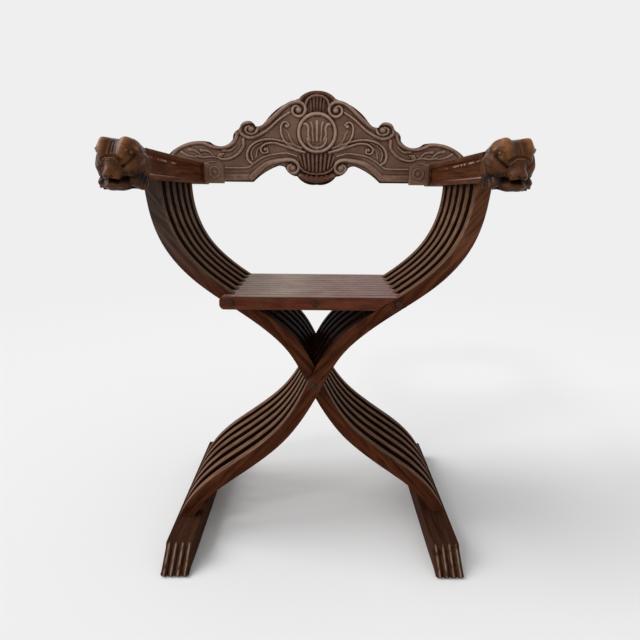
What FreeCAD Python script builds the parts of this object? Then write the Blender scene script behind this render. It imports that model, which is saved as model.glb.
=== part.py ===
import FreeCAD, Part
import math
import os

# A folding X chair of the Savonarola kind: twelve rows of wooden ribs and seat
# slats on four long rods, two arms with lion heads, two sledge feet with claws
# and a carved crest board that drops into grooves in the arms.
# Millimetres. X runs across the seat, Y from the front to the back, Z up from
# the floor. The origin is the middle of the chair's footprint, on the floor.

V = FreeCAD.Vector

# Folding linkage, as seen from the front
SEAT_HALF = 147.0
SEAT_PIN_Z = 457.0
PIVOT_Z = 304.0
FOLD_DEG = 50.0

# Stack of ribs and slats along the depth
PLANES = 12
PITCH = 21.5
SIDE_GAP = 0.3

# Ribs
RIB_WIDTH = 26.0
RIB_EASE = 1.6
FOOT_SPLAY = 6.0
TENON_LENGTH = 14.0
TENON_WIDTH = 16.0
TENON_SHOULDER = 4.0
TENON_FIT = 0.1

# Seat slats
SLAT_HEIGHT = 23.4
SLAT_ABOVE_PIN = 11.5
SLAT_NOSE = 20.0
SLAT_ROUND = 9.0
SLAT_EASE = 1.2
SLAT_END_GAP = 0.6

# Rods and their caps
ROD_RADIUS = 4.0
BORE_GAP = 0.08
CAP_RADIUS = 5.8
CAP_HEIGHT = 3.2
CAP_RIM = 1.0
CAP_SOCKET = 2.0
SOCKET_GAP = 0.05
DRIFT_GAP = 0.8
DRIFT_STEPS = 12

# Arms
ARM_INNER = 260.0
ARM_WIDTH = 42.0
ARM_BOTTOM = 664.0
ARM_HEIGHT = 48.0
ARM_FRONT = 43.0
ARM_TAIL = 132.0
ARM_ROUND = 3.5
PANEL_DEPTH = 2.5
PANEL_TOP_RAIL = 9.0
PANEL_LOW_RAIL = 8.0
PANEL_END_RAIL = 18.0

# Lion heads
HEAD_LENGTH = 85.0
HEAD_RADIUS = 37.0
HEAD_OUT = 5.0
LOBE_RADIUS = 16.0
JAW_RADIUS = 15.0
DOWEL_RADIUS = 4.5
DOWEL_DEPTH = 20.0
DOWEL_SPREAD = 12.0

# Feet
FOOT_INNER = 212.5
FOOT_WIDTH = 48.0
FOOT_HEIGHT = 38.0
CLAW_REACH = 114.0
CLAW_LENGTH = 43.5
FOOT_TAIL = 42.0
FOOT_ROUND = 10.0
TOE_TIP = 5.0
TOES = 4
TOE_GROOVE = 3.6
TOE_LINE = 1.1
CLAW_ROUND = 3.0

# Crest board
BOARD_WING = 43.0
BOARD_RISE = 162.0
BOARD_DROP = 5.0
GROOVE_FLOOR = 7.0
BOARD_THICK = 20.0
BOARD_FIT = 0.3
BOARD_BEHIND = 99.0
BLOCK_SIDE = 44.0
BLOCK_THICK = 19.0
ROSETTE_RADIUS = 15.0
ROSETTE_RISE = 2.5

# One overrun for every cut
OVER = 1.0

# Places worked out from the sizes above
STACK = PLANES * PITCH
STACK_FRONT = (HEAD_LENGTH + ARM_FRONT - STACK - ARM_TAIL) / 2
LAMINA = PITCH - 2 * SIDE_GAP
ARM_MID = ARM_INNER + ARM_WIDTH / 2
ARM_TOP = ARM_BOTTOM + ARM_HEIGHT
FOOT_MID = FOOT_INNER + FOOT_WIDTH / 2
HEAD_X = ARM_MID + HEAD_OUT
HEAD_Z = ARM_BOTTOM + ARM_HEIGHT / 2
HEAD_BACK = STACK_FRONT - ARM_FRONT
ARM_REAR = STACK_FRONT + STACK + ARM_TAIL
BOARD_FRONT = STACK_FRONT + STACK + BOARD_BEHIND
BOARD_HALF = ARM_INNER + ARM_WIDTH + BOARD_WING
BOARD_TOP = ARM_TOP + BOARD_RISE
BOARD_FLAT = ARM_BOTTOM + GROOVE_FLOOR
BOARD_LOW = BOARD_FLAT - BOARD_DROP
SLAT_TOP = SEAT_PIN_Z + SLAT_ABOVE_PIN
RIGHT = 1
LEFT = -1

# Centre line of a right rib, as shares of the way from pin to end, with the
# width there as a share of the rib's width
UPPER_SHARES = ((1.0, 1.0, 1.0), (0.978, 0.86, 0.94), (0.929, 0.70, 0.95), (0.835, 0.536, 0.96),
                (0.678, 0.372, 0.93), (0.427, 0.203, 0.89))
SEAT_WIDTH_SHARE = 0.85
MIDDLE_SHARES = ((0.543, 0.699, 0.98), (0.257, 0.435, 1.06))
PIVOT_WIDTH_SHARE = 1.02
LOWER_SHARES = ((0.124, 0.209, 0.93), (0.268, 0.381, 0.94), (0.430, 0.513, 0.97), (0.568, 0.608, 0.99),
                (0.726, 0.713, 1.0), (0.867, 0.828, 0.99), (0.972, 0.955, 1.0), (1.0, 1.0, 0.94))

# Right half of the crest board from its crown to the middle of its lower edge.
# Across as a share of the half width, up as a share of the height. One point is
# a straight run, two are an arc through the first to the second.
CROWN_SHARES = (0.0, 1.0)
BOARD_SHARES = (
    ((0.070, 0.980), (0.125, 0.918)),
    ((0.151, 0.904),),
    ((0.252, 0.827), (0.354, 0.659)),
    ((0.380, 0.628), (0.414, 0.625)),
    ((0.464, 0.683), (0.516, 0.611)),
    ((0.545, 0.572),),
    ((0.562, 0.540), (0.565, 0.490)),
    ((0.632, 0.413), (0.722, 0.452)),
    ((0.878, 0.442), (1.0, 0.322)),
    ((1.0, 0.115),),
)
BOARD_SOFFIT_SHARES = (
    ((0.365, 0.120), (0.275, 0.197)),
    ((0.243, 0.205), (0.214, 0.183)),
    ((0.185, 0.120), (0.133, 0.091)),
    ((0.070, 0.010), (0.0, 0.0)),
)
BOARD_TIP_SHARE = 0.96
BOARD_FLAT_SHARE = 0.435

# Turned outline of a head: along its length from the arm, and out from its axis
HEAD_SHARES = ((0.0, 0.70), (0.14, 0.90), (0.28, 0.84), (0.45, 0.98), (0.62, 1.0), (0.78, 0.86),
               (0.92, 0.60), (1.0, 0.24))
LOBE_SHARES = (0.60, 0.46, 0.50)
JAW_SHARES = (0.78, 0.0, 0.58)
ROSETTE_RING_SHARE = 0.75
ROSETTE_BOSS_SHARE = 0.45


def front_view(y):
    """Puts a point of a front view, across and up, at one depth."""
    return lambda across, up: V(across, y, up)


def side_view(x):
    """Puts a point of a side view, along the depth and up, at one place across."""
    return lambda along, up: V(x, along, up)


def top_view(z):
    """Puts a point of a view from above, across and along the depth, at one height."""
    return lambda across, along: V(across, along, z)


def corner_step(radius):
    """How far the middle of a quarter round lies in from each side of its corner."""
    return radius * (1 - math.sqrt(0.5))


def outline(start, moves, put):
    """Closed face from a start point through lines and three point arcs."""
    edges = []
    here = put(*start)
    for move in moves:
        there = put(*move[-1])
        if len(move) == 1:
            edges.append(Part.makeLine(here, there))
        else:
            edges.append(Part.Arc(here, put(*move[0]), there).toShape())
        here = there
    edges.append(Part.makeLine(here, put(*start)))
    return Part.Face(Part.Wire(edges))


def spline(points, put):
    """One smooth edge through the points."""
    curve = Part.BSplineCurve()
    curve.interpolate([put(*point) for point in points])
    return curve.toShape()


def rod_along_y(x, y, z, radius, length):
    """Cylinder along the depth."""
    return Part.makeCylinder(radius, length, V(x, y, z), V(0, 1, 0))


def mirrored(shape):
    """The same shape on the other side of the chair."""
    return shape.mirror(V(0, 0, 0), V(1, 0, 0))


def on_side(shape, side):
    """A shape made for the right side, moved to the side asked for."""
    if side == RIGHT:
        return shape
    return mirrored(shape)


def plane_front(plane):
    """Front face of the wood in one plane of the stack."""
    return STACK_FRONT + plane * PITCH + SIDE_GAP


def rib_stations():
    """Centre points and widths of a right rib, from the arm down to the left foot."""
    foot_x = FOOT_MID + FOOT_SPLAY
    stations = []
    for across, up, wide in UPPER_SHARES:
        x = SEAT_HALF + across * (ARM_MID - SEAT_HALF)
        z = SEAT_PIN_Z + up * (ARM_BOTTOM - SEAT_PIN_Z)
        stations.append((x, z, wide * RIB_WIDTH))
    stations.append((SEAT_HALF, SEAT_PIN_Z, SEAT_WIDTH_SHARE * RIB_WIDTH))
    for across, up, wide in MIDDLE_SHARES:
        z = PIVOT_Z + up * (SEAT_PIN_Z - PIVOT_Z)
        stations.append((across * SEAT_HALF, z, wide * RIB_WIDTH))
    stations.append((0.0, PIVOT_Z, PIVOT_WIDTH_SHARE * RIB_WIDTH))
    for across, down, wide in LOWER_SHARES:
        z = PIVOT_Z - down * (PIVOT_Z - FOOT_HEIGHT)
        stations.append((-across * foot_x, z, wide * RIB_WIDTH))
    return stations


def rib_edge(inner, extra=0.0):
    """Points of one edge of a right rib, moved out from the wood by extra."""
    stations = rib_stations()
    last = len(stations) - 1
    points = []
    for index, (x, z, width) in enumerate(stations):
        before = stations[max(index - 1, 0)]
        after = stations[min(index + 1, last)]
        run_x = after[0] - before[0]
        run_z = after[1] - before[1]
        length = math.hypot(run_x, run_z)
        reach = width / 2 + extra
        if not inner:
            reach = -reach
        if index == 0:
            points.append((x - reach, z))
        elif index == last:
            points.append((x - reach * length / abs(run_z), z))
        else:
            points.append((x + reach * run_z / length, z - reach * run_x / length))
    return points


def tenon(x, z_low, y):
    """Tongue at the end of a rib, as long as its socket is deep."""
    size_x = TENON_WIDTH
    size_y = LAMINA - 2 * TENON_SHOULDER
    corner = V(x - size_x / 2, y + TENON_SHOULDER, z_low)
    return Part.makeBox(size_x, size_y, TENON_LENGTH + OVER, corner)


def socket(x, z_low, y):
    """Cutter for the socket that takes a tenon."""
    size_x = TENON_WIDTH + 2 * TENON_FIT
    size_y = LAMINA - 2 * TENON_SHOULDER + 2 * TENON_FIT
    corner = V(x - size_x / 2, y + TENON_SHOULDER - TENON_FIT, z_low)
    return Part.makeBox(size_x, size_y, TENON_LENGTH + OVER + TENON_FIT, corner)


def make_rib(plane):
    """Right rib: down from the right arm, through both its pins, to the left foot."""
    y = plane_front(plane)
    put = front_view(y)
    inner = rib_edge(True)
    outer = rib_edge(False)
    edges = [spline(inner, put), Part.makeLine(put(*inner[-1]), put(*outer[-1])),
             spline(list(reversed(outer)), put), Part.makeLine(put(*outer[0]), put(*inner[0]))]
    rib = Part.Face(Part.Wire(edges)).extrude(V(0, LAMINA, 0))
    rib = rib.makeFillet(RIB_EASE, [edge for edge in rib.Edges if edge.Length > PIVOT_Z])
    for x, z in ((0.0, PIVOT_Z), (SEAT_HALF, SEAT_PIN_Z)):
        rib = rib.cut(rod_along_y(x, y - OVER, z, ROD_RADIUS + BORE_GAP, LAMINA + 2 * OVER))
    rib = rib.fuse(tenon(ARM_MID, ARM_BOTTOM - OVER, y))
    return rib.fuse(tenon(-FOOT_MID - FOOT_SPLAY, FOOT_HEIGHT - TENON_LENGTH, y))


def beyond_rib(y):
    """Everything past the inner edge of a right rib, where a seat slat has to stop."""
    put = front_view(y - OVER)
    edge = rib_edge(True, SLAT_END_GAP)
    far = ARM_INNER + ARM_WIDTH
    top = put(far, edge[0][1])
    low = put(far, edge[-1][1])
    sides = [spline(edge, put), Part.makeLine(put(*edge[-1]), low),
             Part.makeLine(low, top), Part.makeLine(top, put(*edge[0]))]
    return Part.Face(Part.Wire(sides)).extrude(V(0, LAMINA + 2 * OVER, 0))


def make_slat(plane):
    """Seat slat hinged on the left seat rod, its right end cut to the rib beside it."""
    y = plane_front(plane)
    low = SLAT_TOP - SLAT_HEIGHT
    nose = -SEAT_HALF - SLAT_NOSE
    turn = corner_step(SLAT_ROUND)
    far = SEAT_HALF + SLAT_NOSE
    start = (far, SLAT_TOP)
    moves = (((nose + SLAT_ROUND, SLAT_TOP),),
             ((nose + turn, SLAT_TOP - turn), (nose, SLAT_TOP - SLAT_ROUND)),
             ((nose, low + SLAT_ROUND),),
             ((nose + turn, low + turn), (nose + SLAT_ROUND, low)),
             ((far, low),))
    slat = outline(start, moves, front_view(y)).extrude(V(0, LAMINA, 0))
    long_edges = [edge for edge in slat.Edges if edge.Length > SEAT_HALF]
    slat = slat.makeFillet(SLAT_EASE, [edge for edge in long_edges if edge.BoundBox.ZMin > SEAT_PIN_Z])
    slat = slat.cut(beyond_rib(y))
    for x in (-SEAT_HALF, 0.0):
        slat = slat.cut(rod_along_y(x, y - OVER, SEAT_PIN_Z, ROD_RADIUS + BORE_GAP, LAMINA + 2 * OVER))
    return slat


def kite_angle(fold):
    """Tilt of the slats from level when the linkage is folded by this angle."""
    spread = math.atan2(SEAT_HALF, SEAT_PIN_Z - PIVOT_Z)
    return math.acos(math.sin(spread - fold / 2) / math.sin(spread))


def drift_path():
    """Way of the right seat rod past a right slat, which turns at a steady rate.

    The true linkage turns unevenly. Points are towards the middle of the slat
    and up from it, measured from the place of the rod at rest.
    """
    end = math.radians(FOLD_DEG)
    tilt = kite_angle(end)
    points = []
    for step in range(DRIFT_STEPS + 1):
        share = step / DRIFT_STEPS
        fold = share * end
        left = share * (tilt + end / 2)
        right = left - share * 2 * tilt
        height = SEAT_PIN_Z - PIVOT_Z
        rod_x = SEAT_HALF * math.cos(fold) - height * math.sin(fold)
        rod_z = SEAT_HALF * math.sin(fold) + height * math.cos(fold)
        end_x = SEAT_HALF * (math.cos(left) + math.cos(right) - 1)
        end_z = height + SEAT_HALF * (math.sin(left) + math.sin(right))
        gap_x = rod_x - end_x
        gap_z = rod_z - end_z
        along = gap_x * math.cos(right) + gap_z * math.sin(right)
        up = gap_z * math.cos(right) - gap_x * math.sin(right)
        points.append((-along, up))
    return points


def drift_cut(y):
    """Cutter for the open hook of a slat hinged on the left, room for the whole way."""
    put = front_view(y - OVER)
    deep = LAMINA + 2 * OVER
    radius = ROD_RADIUS + DRIFT_GAP
    places = [(along - SEAT_HALF, SEAT_PIN_Z + up) for along, up in drift_path()]
    loop = Part.makePolygon([put(*place) for place in places[:-1]] + [put(*places[0])])
    cutters = [Part.Face(loop).extrude(V(0, deep, 0))]
    for here, there in zip(places[:-1], places[1:]):
        cutters.append(rod_along_y(here[0], y - OVER, here[1], radius, deep))
        run = V(there[0] - here[0], 0, there[1] - here[1])
        side = V(-run.z, 0, run.x).normalize() * radius
        start = put(*here)
        corners = [start + side, start + side + run, start - side + run, start - side, start + side]
        cutters.append(Part.Face(Part.makePolygon(corners)).extrude(V(0, deep, 0)))
    return cutters[0].multiFuse(cutters[1:])


def make_arm(first_plane):
    """Right arm: a rail with a sunk panel inside, rib sockets below and a board groove."""
    length = ARM_REAR - HEAD_BACK
    arm = Part.makeBox(ARM_WIDTH, length, ARM_HEIGHT, V(ARM_INNER, HEAD_BACK, ARM_BOTTOM))
    long_edges = [edge for edge in arm.Edges if edge.Length > STACK]
    arm = arm.makeFillet(ARM_ROUND, [edge for edge in long_edges if edge.BoundBox.ZMin > HEAD_Z])
    panel_low = ARM_BOTTOM + PANEL_LOW_RAIL
    panel_high = ARM_HEIGHT - PANEL_LOW_RAIL - PANEL_TOP_RAIL
    panel_long = BOARD_FRONT - BLOCK_THICK - PANEL_END_RAIL - HEAD_BACK - PANEL_END_RAIL
    corner = V(ARM_INNER - OVER, HEAD_BACK + PANEL_END_RAIL, panel_low)
    arm = arm.cut(Part.makeBox(PANEL_DEPTH + OVER, panel_long, panel_high, corner))
    arm = arm.cut(board_groove())
    for plane in range(first_plane, PLANES, 2):
        arm = arm.cut(socket(ARM_MID, ARM_BOTTOM - OVER, plane_front(plane)))
    for hole in head_holes(HEAD_BACK - OVER, DOWEL_DEPTH + OVER, DOWEL_RADIUS + SOCKET_GAP):
        arm = arm.cut(hole)
    return arm


def board_groove():
    """Cutter for the slot across the arm that the crest board drops into."""
    wide = ARM_WIDTH + 2 * OVER
    deep = BOARD_THICK + 2 * BOARD_FIT
    low = BOARD_FLAT - BOARD_FIT
    corner = V(ARM_INNER - OVER, BOARD_FRONT - BOARD_FIT, low)
    return Part.makeBox(wide, deep, ARM_TOP + OVER - low, corner)


def head_holes(y, length, radius):
    """Two cylinders across the joint of a right arm and its head."""
    return [rod_along_y(ARM_MID, y, HEAD_Z + up, radius, length) for up in (-DOWEL_SPREAD, DOWEL_SPREAD)]


def make_head():
    """Right lion head: turned mane and skull, two brow lobes and a jaw."""
    points = [(HEAD_X + out * HEAD_RADIUS, HEAD_BACK - along * HEAD_LENGTH) for along, out in HEAD_SHARES]
    put = top_view(HEAD_Z)
    nose = put(HEAD_X, points[-1][1])
    back = put(HEAD_X, HEAD_BACK)
    edges = [spline(points, put), Part.makeLine(put(*points[-1]), nose),
             Part.makeLine(nose, back), Part.makeLine(back, put(*points[0]))]
    head = Part.Face(Part.Wire(edges)).revolve(back, V(0, 1, 0), 360)
    along, aside, up = LOBE_SHARES
    lobe_y = HEAD_BACK - along * HEAD_LENGTH
    for side in (LEFT, RIGHT):
        centre = V(HEAD_X + side * aside * HEAD_RADIUS, lobe_y, HEAD_Z + up * HEAD_RADIUS)
        head = head.fuse(Part.makeSphere(LOBE_RADIUS, centre))
    along, aside, down = JAW_SHARES
    centre = V(HEAD_X + aside * HEAD_RADIUS, HEAD_BACK - along * HEAD_LENGTH, HEAD_Z - down * HEAD_RADIUS)
    head = head.fuse(Part.makeSphere(JAW_RADIUS, centre))
    for hole in head_holes(HEAD_BACK - DOWEL_DEPTH, DOWEL_DEPTH + OVER, DOWEL_RADIUS + SOCKET_GAP):
        head = head.cut(hole)
    return head


def make_dowels():
    """Two dowels that hold a right head on its arm."""
    return Part.makeCompound(head_holes(HEAD_BACK - DOWEL_DEPTH, 2 * DOWEL_DEPTH, DOWEL_RADIUS))


def make_foot():
    """Left foot, made on the right: a sledge rail with a sloped claw of four toes."""
    tip = STACK_FRONT - CLAW_REACH
    top_front = tip + CLAW_LENGTH
    rear = STACK_FRONT + STACK + FOOT_TAIL
    turn = corner_step(FOOT_ROUND)
    blunt = corner_step(TOE_TIP)
    start = (rear, 0.0)
    moves = (((rear, FOOT_HEIGHT - FOOT_ROUND),),
             ((rear - turn, FOOT_HEIGHT - turn), (rear - FOOT_ROUND, FOOT_HEIGHT)),
             ((top_front, FOOT_HEIGHT),),
             ((tip, TOE_TIP),),
             ((tip + blunt, blunt), (tip + TOE_TIP, 0.0)))
    foot = outline(start, moves, side_view(FOOT_INNER)).extrude(V(FOOT_WIDTH, 0, 0))
    sloped = [edge for edge in foot.Edges if edge.BoundBox.YMax < top_front + OVER]
    foot = foot.makeFillet(CLAW_ROUND, [edge for edge in sloped if edge.Length > CLAW_LENGTH])
    return foot.cut(toe_grooves(top_front))


def toe_groove(across, top_front, radius):
    """Groove down the slope of the claw at one place across, with a round upper end."""
    slope = V(0, -CLAW_LENGTH, TOE_TIP - FOOT_HEIGHT)
    start = V(FOOT_INNER + across, top_front, FOOT_HEIGHT) + slope * (TOE_TIP / slope.Length)
    groove = Part.makeCylinder(radius, slope.Length, start, slope)
    return groove.fuse(Part.makeSphere(radius, start))


def toe_grooves(top_front):
    """Deep grooves between the toes and a fine line down the middle of each toe."""
    toe = FOOT_WIDTH / TOES
    grooves = [toe_groove(index * toe, top_front, TOE_GROOVE) for index in range(1, TOES)]
    lines = [toe_groove((index + 0.5) * toe, top_front, TOE_LINE) for index in range(TOES)]
    return grooves + lines


def foot_sockets(foot, first_plane):
    """Sockets for the six ribs that stand in a foot made on the right."""
    for plane in range(first_plane, PLANES, 2):
        low = FOOT_HEIGHT - TENON_LENGTH - TENON_FIT
        foot = foot.cut(socket(FOOT_MID + FOOT_SPLAY, low, plane_front(plane)))
    return foot


def board_point(across, up, side):
    """A point of the crest board from its shares."""
    return (side * across * BOARD_HALF, BOARD_LOW + up * (BOARD_TOP - BOARD_LOW))


def half_board_moves():
    """Moves of the right half of the board, from its crown round to its low middle."""
    moves = [[board_point(*point, RIGHT) for point in arc] for arc in BOARD_SHARES]
    moves.append([(BOARD_TIP_SHARE * BOARD_HALF, BOARD_FLAT)])
    moves.append([(BOARD_FLAT_SHARE * BOARD_HALF, BOARD_FLAT)])
    moves.extend([board_point(*point, RIGHT) for point in arc] for arc in BOARD_SOFFIT_SHARES)
    return moves


def make_board():
    """Carved crest board, a shaped plank with a flat lower edge at each arm."""
    start = board_point(*CROWN_SHARES, RIGHT)
    half = outline(start, half_board_moves(), front_view(BOARD_FRONT)).extrude(V(0, BOARD_THICK, 0))
    return half.fuse(mirrored(half)).removeSplitter()


def make_rosette():
    """Right rosette block: a square block inside the arm with a turned ring on it."""
    y = BOARD_FRONT - BOARD_FIT - BLOCK_THICK
    low = HEAD_Z - BLOCK_SIDE / 2
    block = Part.makeBox(BLOCK_SIDE, BLOCK_THICK, BLOCK_SIDE, V(ARM_INNER - BLOCK_SIDE, y, low))
    mid_x = ARM_INNER - BLOCK_SIDE / 2
    face = y - ROSETTE_RISE
    dish = ROSETTE_RADIUS * ROSETTE_RING_SHARE
    ring = rod_along_y(mid_x, face, HEAD_Z, ROSETTE_RADIUS, ROSETTE_RISE + OVER)
    ring = ring.cut(rod_along_y(mid_x, face, HEAD_Z, dish, ROSETTE_RISE))
    boss = rod_along_y(mid_x, face, HEAD_Z, ROSETTE_RADIUS * ROSETTE_BOSS_SHARE, ROSETTE_RISE + OVER)
    return block.fuse(ring).fuse(boss)


def make_rod(x, z):
    """Rod through the whole stack, its ends in the caps."""
    y = STACK_FRONT - CAP_SOCKET
    return rod_along_y(x, y, z, ROD_RADIUS, STACK + 2 * CAP_SOCKET)


def make_cap(x, z, y, way):
    """Rounded cap on one end of a rod, with a socket for the rod."""
    crown_y = y + way * CAP_HEIGHT
    cap = rod_along_y(x, min(y, crown_y), z, CAP_RADIUS, CAP_HEIGHT)
    crown = [edge for edge in cap.Edges if abs(edge.BoundBox.Center.y - crown_y) < CAP_RIM / 2]
    cap = cap.makeFillet(CAP_HEIGHT - CAP_RIM, crown)
    hole_y = min(y - way * OVER, y + way * CAP_SOCKET)
    return cap.cut(rod_along_y(x, hole_y, z, ROD_RADIUS + SOCKET_GAP, CAP_SOCKET + OVER))


def make_caps(x, z):
    """Front and rear caps of one rod."""
    return Part.makeCompound([make_cap(x, z, STACK_FRONT, -1), make_cap(x, z, STACK_FRONT + STACK, 1)])


def build():
    """Every named piece of the chair."""
    parts = {}
    for row in range(PLANES // 2):
        even = 2 * row
        odd = even + 1
        parts[f"rib_right_{row + 1}"] = make_rib(even)
        parts[f"rib_left_{row + 1}"] = mirrored(make_rib(odd))
        parts[f"slat_left_{row + 1}"] = make_slat(even)
        hooked = make_slat(odd).cut(drift_cut(plane_front(odd)))
        parts[f"slat_right_{row + 1}"] = mirrored(hooked)
    parts["arm_right"] = make_arm(0)
    parts["arm_left"] = mirrored(make_arm(1))
    for side, name in ((RIGHT, "right"), (LEFT, "left")):
        parts[f"lion_head_{name}"] = on_side(make_head(), side)
        parts[f"head_dowels_{name}"] = on_side(make_dowels(), side)
        parts[f"rosette_{name}"] = on_side(make_rosette(), side)
    foot = make_foot()
    parts["foot_right"] = foot_sockets(foot, 1)
    parts["foot_left"] = mirrored(foot_sockets(foot, 0))
    parts["back_board"] = make_board()
    rods = (("pivot", 0.0, PIVOT_Z), ("left_seat", -SEAT_HALF, SEAT_PIN_Z),
            ("right_seat", SEAT_HALF, SEAT_PIN_Z), ("centre_seat", 0.0, SEAT_PIN_Z))
    for name, x, z in rods:
        parts[f"{name}_rod"] = make_rod(x, z)
        parts[f"{name}_rod_caps"] = make_caps(x, z)
    return parts


def main():
    os.makedirs("parts", exist_ok=True)
    for name, shape in build().items():
        shape.exportStep(os.path.join("parts", f"{name}.step"))
        box = shape.BoundBox
        print(f"{name:24s} solids {len(shape.Solids)} valid {shape.isValid()} volume {shape.Volume / 1000:9.1f} "
              f"x {box.XMin:7.1f} {box.XMax:7.1f} y {box.YMin:7.1f} {box.YMax:7.1f} z {box.ZMin:6.1f} {box.ZMax:6.1f}")


main()
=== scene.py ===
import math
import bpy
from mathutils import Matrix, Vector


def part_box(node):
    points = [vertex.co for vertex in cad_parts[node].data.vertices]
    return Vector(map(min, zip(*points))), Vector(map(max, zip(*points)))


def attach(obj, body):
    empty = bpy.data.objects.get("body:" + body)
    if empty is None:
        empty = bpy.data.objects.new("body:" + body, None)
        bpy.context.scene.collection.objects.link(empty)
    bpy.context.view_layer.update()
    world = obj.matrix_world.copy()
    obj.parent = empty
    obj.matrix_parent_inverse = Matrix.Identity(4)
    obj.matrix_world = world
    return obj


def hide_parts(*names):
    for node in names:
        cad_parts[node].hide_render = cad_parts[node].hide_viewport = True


bl_info = {
    "name": "Folding armchair with lion heads",
    "version": (1, 0, 0),
    "blender": (4, 5, 0),
    "location": "View3D > Sidebar > Armchair",
    "description": "Carves and finishes the walnut folding armchair",
    "category": "Object",
}

import bmesh
import bpy
import numpy as np
from mathutils import Matrix, Vector

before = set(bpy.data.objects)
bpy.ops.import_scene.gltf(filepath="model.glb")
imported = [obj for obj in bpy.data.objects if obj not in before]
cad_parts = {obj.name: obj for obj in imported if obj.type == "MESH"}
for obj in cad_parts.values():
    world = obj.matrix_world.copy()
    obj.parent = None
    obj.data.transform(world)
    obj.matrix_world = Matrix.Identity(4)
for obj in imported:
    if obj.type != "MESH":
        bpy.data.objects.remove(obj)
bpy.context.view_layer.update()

MM = 0.001
ROWS = range(1, 7)
LEFT = -1
RIGHT = 1
SIDES = ((LEFT, "left"), (RIGHT, "right"))
OTHER_SIDE = {"left": "right", "right": "left"}
QUARTER = math.pi / 2
ALONG_X = (0.0, QUARTER, 0.0)
ALONG_Y = (QUARTER, 0.0, 0.0)

BOARD_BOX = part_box("back_board")
FOOT_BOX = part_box("foot_right")
HEAD_BOXES = {name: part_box(f"lion_head_{name}") for side, name in SIDES}
ROSETTE_BOXES = {name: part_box(f"rosette_{name}") for side, name in SIDES}
SKIN = 0.2 * MM
HEAD_SKIN = 0.3 * MM

# Places in metres where a finish, a mark or painted light starts, ends or has its middle
SEAT_TOP = 468.5 * MM
SEAT_SHEEN = (-62.0 * MM, 48.0 * MM)
SEAT_FADE = (-20.0 * MM, 160.0 * MM)
SLAT_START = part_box("slat_left_1")[0][1]
SLAT_PITCH = 21.5 * MM
ARM_DASH_HEIGHT = 697.0 * MM
ARM_DASH_SLOPE = 0.012
ARM_DASH_REACH = (-60.0 * MM, 85.0 * MM)
ARM_INSIDE = (270.0 * MM, 275.0 * MM)
PANEL_LOW = 672.4 * MM
LEDGE_FADE = (-140.0 * MM, 120.0 * MM)
FOOT_INNER = FOOT_BOX[0][0]
CLAW_PITCH = 12.0 * MM
CLAW_REAR = -201.1 * MM
RIB_SPANS = {
    "near_middle": (110.0 * MM, 170.0 * MM),
    "above_pivot": (285.0 * MM, 325.0 * MM),
    "at_seat": (450.0 * MM, 462.0 * MM),
    "above_seat": (450.0 * MM, 600.0 * MM),
    "under_arm": (590.0 * MM, 664.0 * MM),
    "left_to_right": (-50.0 * MM, 50.0 * MM),
}

# Colours of wear, of painted shade and painted highlights, and of iron
MARK_AND_LIGHT_COLOURS = {
    "rubbed_edge": (0.17, 0.085, 0.055),
    "foot_edge": (0.15, 0.085, 0.055),
    "grey_dark": (0.043, 0.0305, 0.0255),
    "grey_light": (0.098, 0.073, 0.061),
    "warm_dark": (0.051, 0.0205, 0.0105),
    "warm_light": (0.182, 0.076, 0.039),
    # Painted light on the rib edges, and painted shade on them under the arms
    "lit_edge_dark": (0.072, 0.039, 0.0235),
    "lit_edge_light": (0.218, 0.131, 0.085),
    "edge_shade_under_arm": (0.022, 0.011, 0.0075),
    "shade": (0.0030, 0.0016, 0.0012),
    "seat_red": (0.195, 0.088, 0.066),
    "seat_pale_wear_and_sheen": (0.44, 0.32, 0.23),
    "seat_gap_shade": (0.035, 0.012, 0.008),
    "claw_highlight_dim": (0.17, 0.105, 0.075),
    "claw_highlight_bright": (0.34, 0.24, 0.18),
    "arm_dashes_and_highlight": (0.50, 0.32, 0.25),
    "iron_dark": (0.014, 0.007, 0.005),
    "iron_light": (0.062, 0.031, 0.020),
    "crest_warm": (0.17, 0.082, 0.054),
    "rosette_warm": (0.17, 0.085, 0.058),
    "head_dark": (0.007, 0.0024, 0.0011),
    "head_ground": (0.060, 0.0200, 0.0068),
    "head_light": (0.30, 0.12, 0.038),
}
# Shares of red, green and blue by which a colour differs from the one it comes from
SLAT_SHARES = (1.62, 1.24, 1.20)
# Both arms a little yellower; the left one's larger shares make it lighter, as painted light on the side the
# lamps come from
ARM_TONE_AND_LIGHT = {LEFT: (1.35, 1.35, 0.90), RIGHT: (0.95, 1.0, 0.75)}
FOOT_SHARES = (0.68, 1.0, 1.35)
OLIVE_SHARES = (1.05, 1.4, 1.15)
STAIN_SHARES = (0.75, 0.6, 0.6)
# Share of a rib's dark colour that its faces inside the stack get as painted shade
GAP_SHADE_SHARE = 0.22
# Specular level of each finish
SHEEN = {"waxed": 0.006, "arm": 0.015, "seat": 0.07, "carved": 0.05, "head": 0.11, "plain": 0.15}
CARVED_GLOSS = 0.46
HEAD_GLOSS = 0.24
GRAIN_STRETCH = 14.0
CARVED_STRETCH = 6.0
GRAIN_WOBBLE = 0.012
RIB_GRAIN_TURN = 0.72
SEAT_POLISH = 0.10

# Rounded edges and toes of the feet
FOOT_COLUMNS = 121
FOOT_RIM = 8.0 * MM
TOE_COUNT = 4
TOE_TIP = 5.0 * MM
TOE_VALLEY = 5.4 * MM
TOE_RIDGE = 0.7 * MM
FOOT_EDGE = 1.6 * MM
# The rosette's grid, rounded edge and ground, and its flower's middle in millimetres
ROSETTE_COUNT = 121
ROSETTE_EDGE = 1.5 * MM
ROSETTE_DEPTH = 3.4 * MM
ROSETTE_SKIN = 0.1 * MM
ROSETTE_MIDDLE = (3.0, 2.5)
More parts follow.
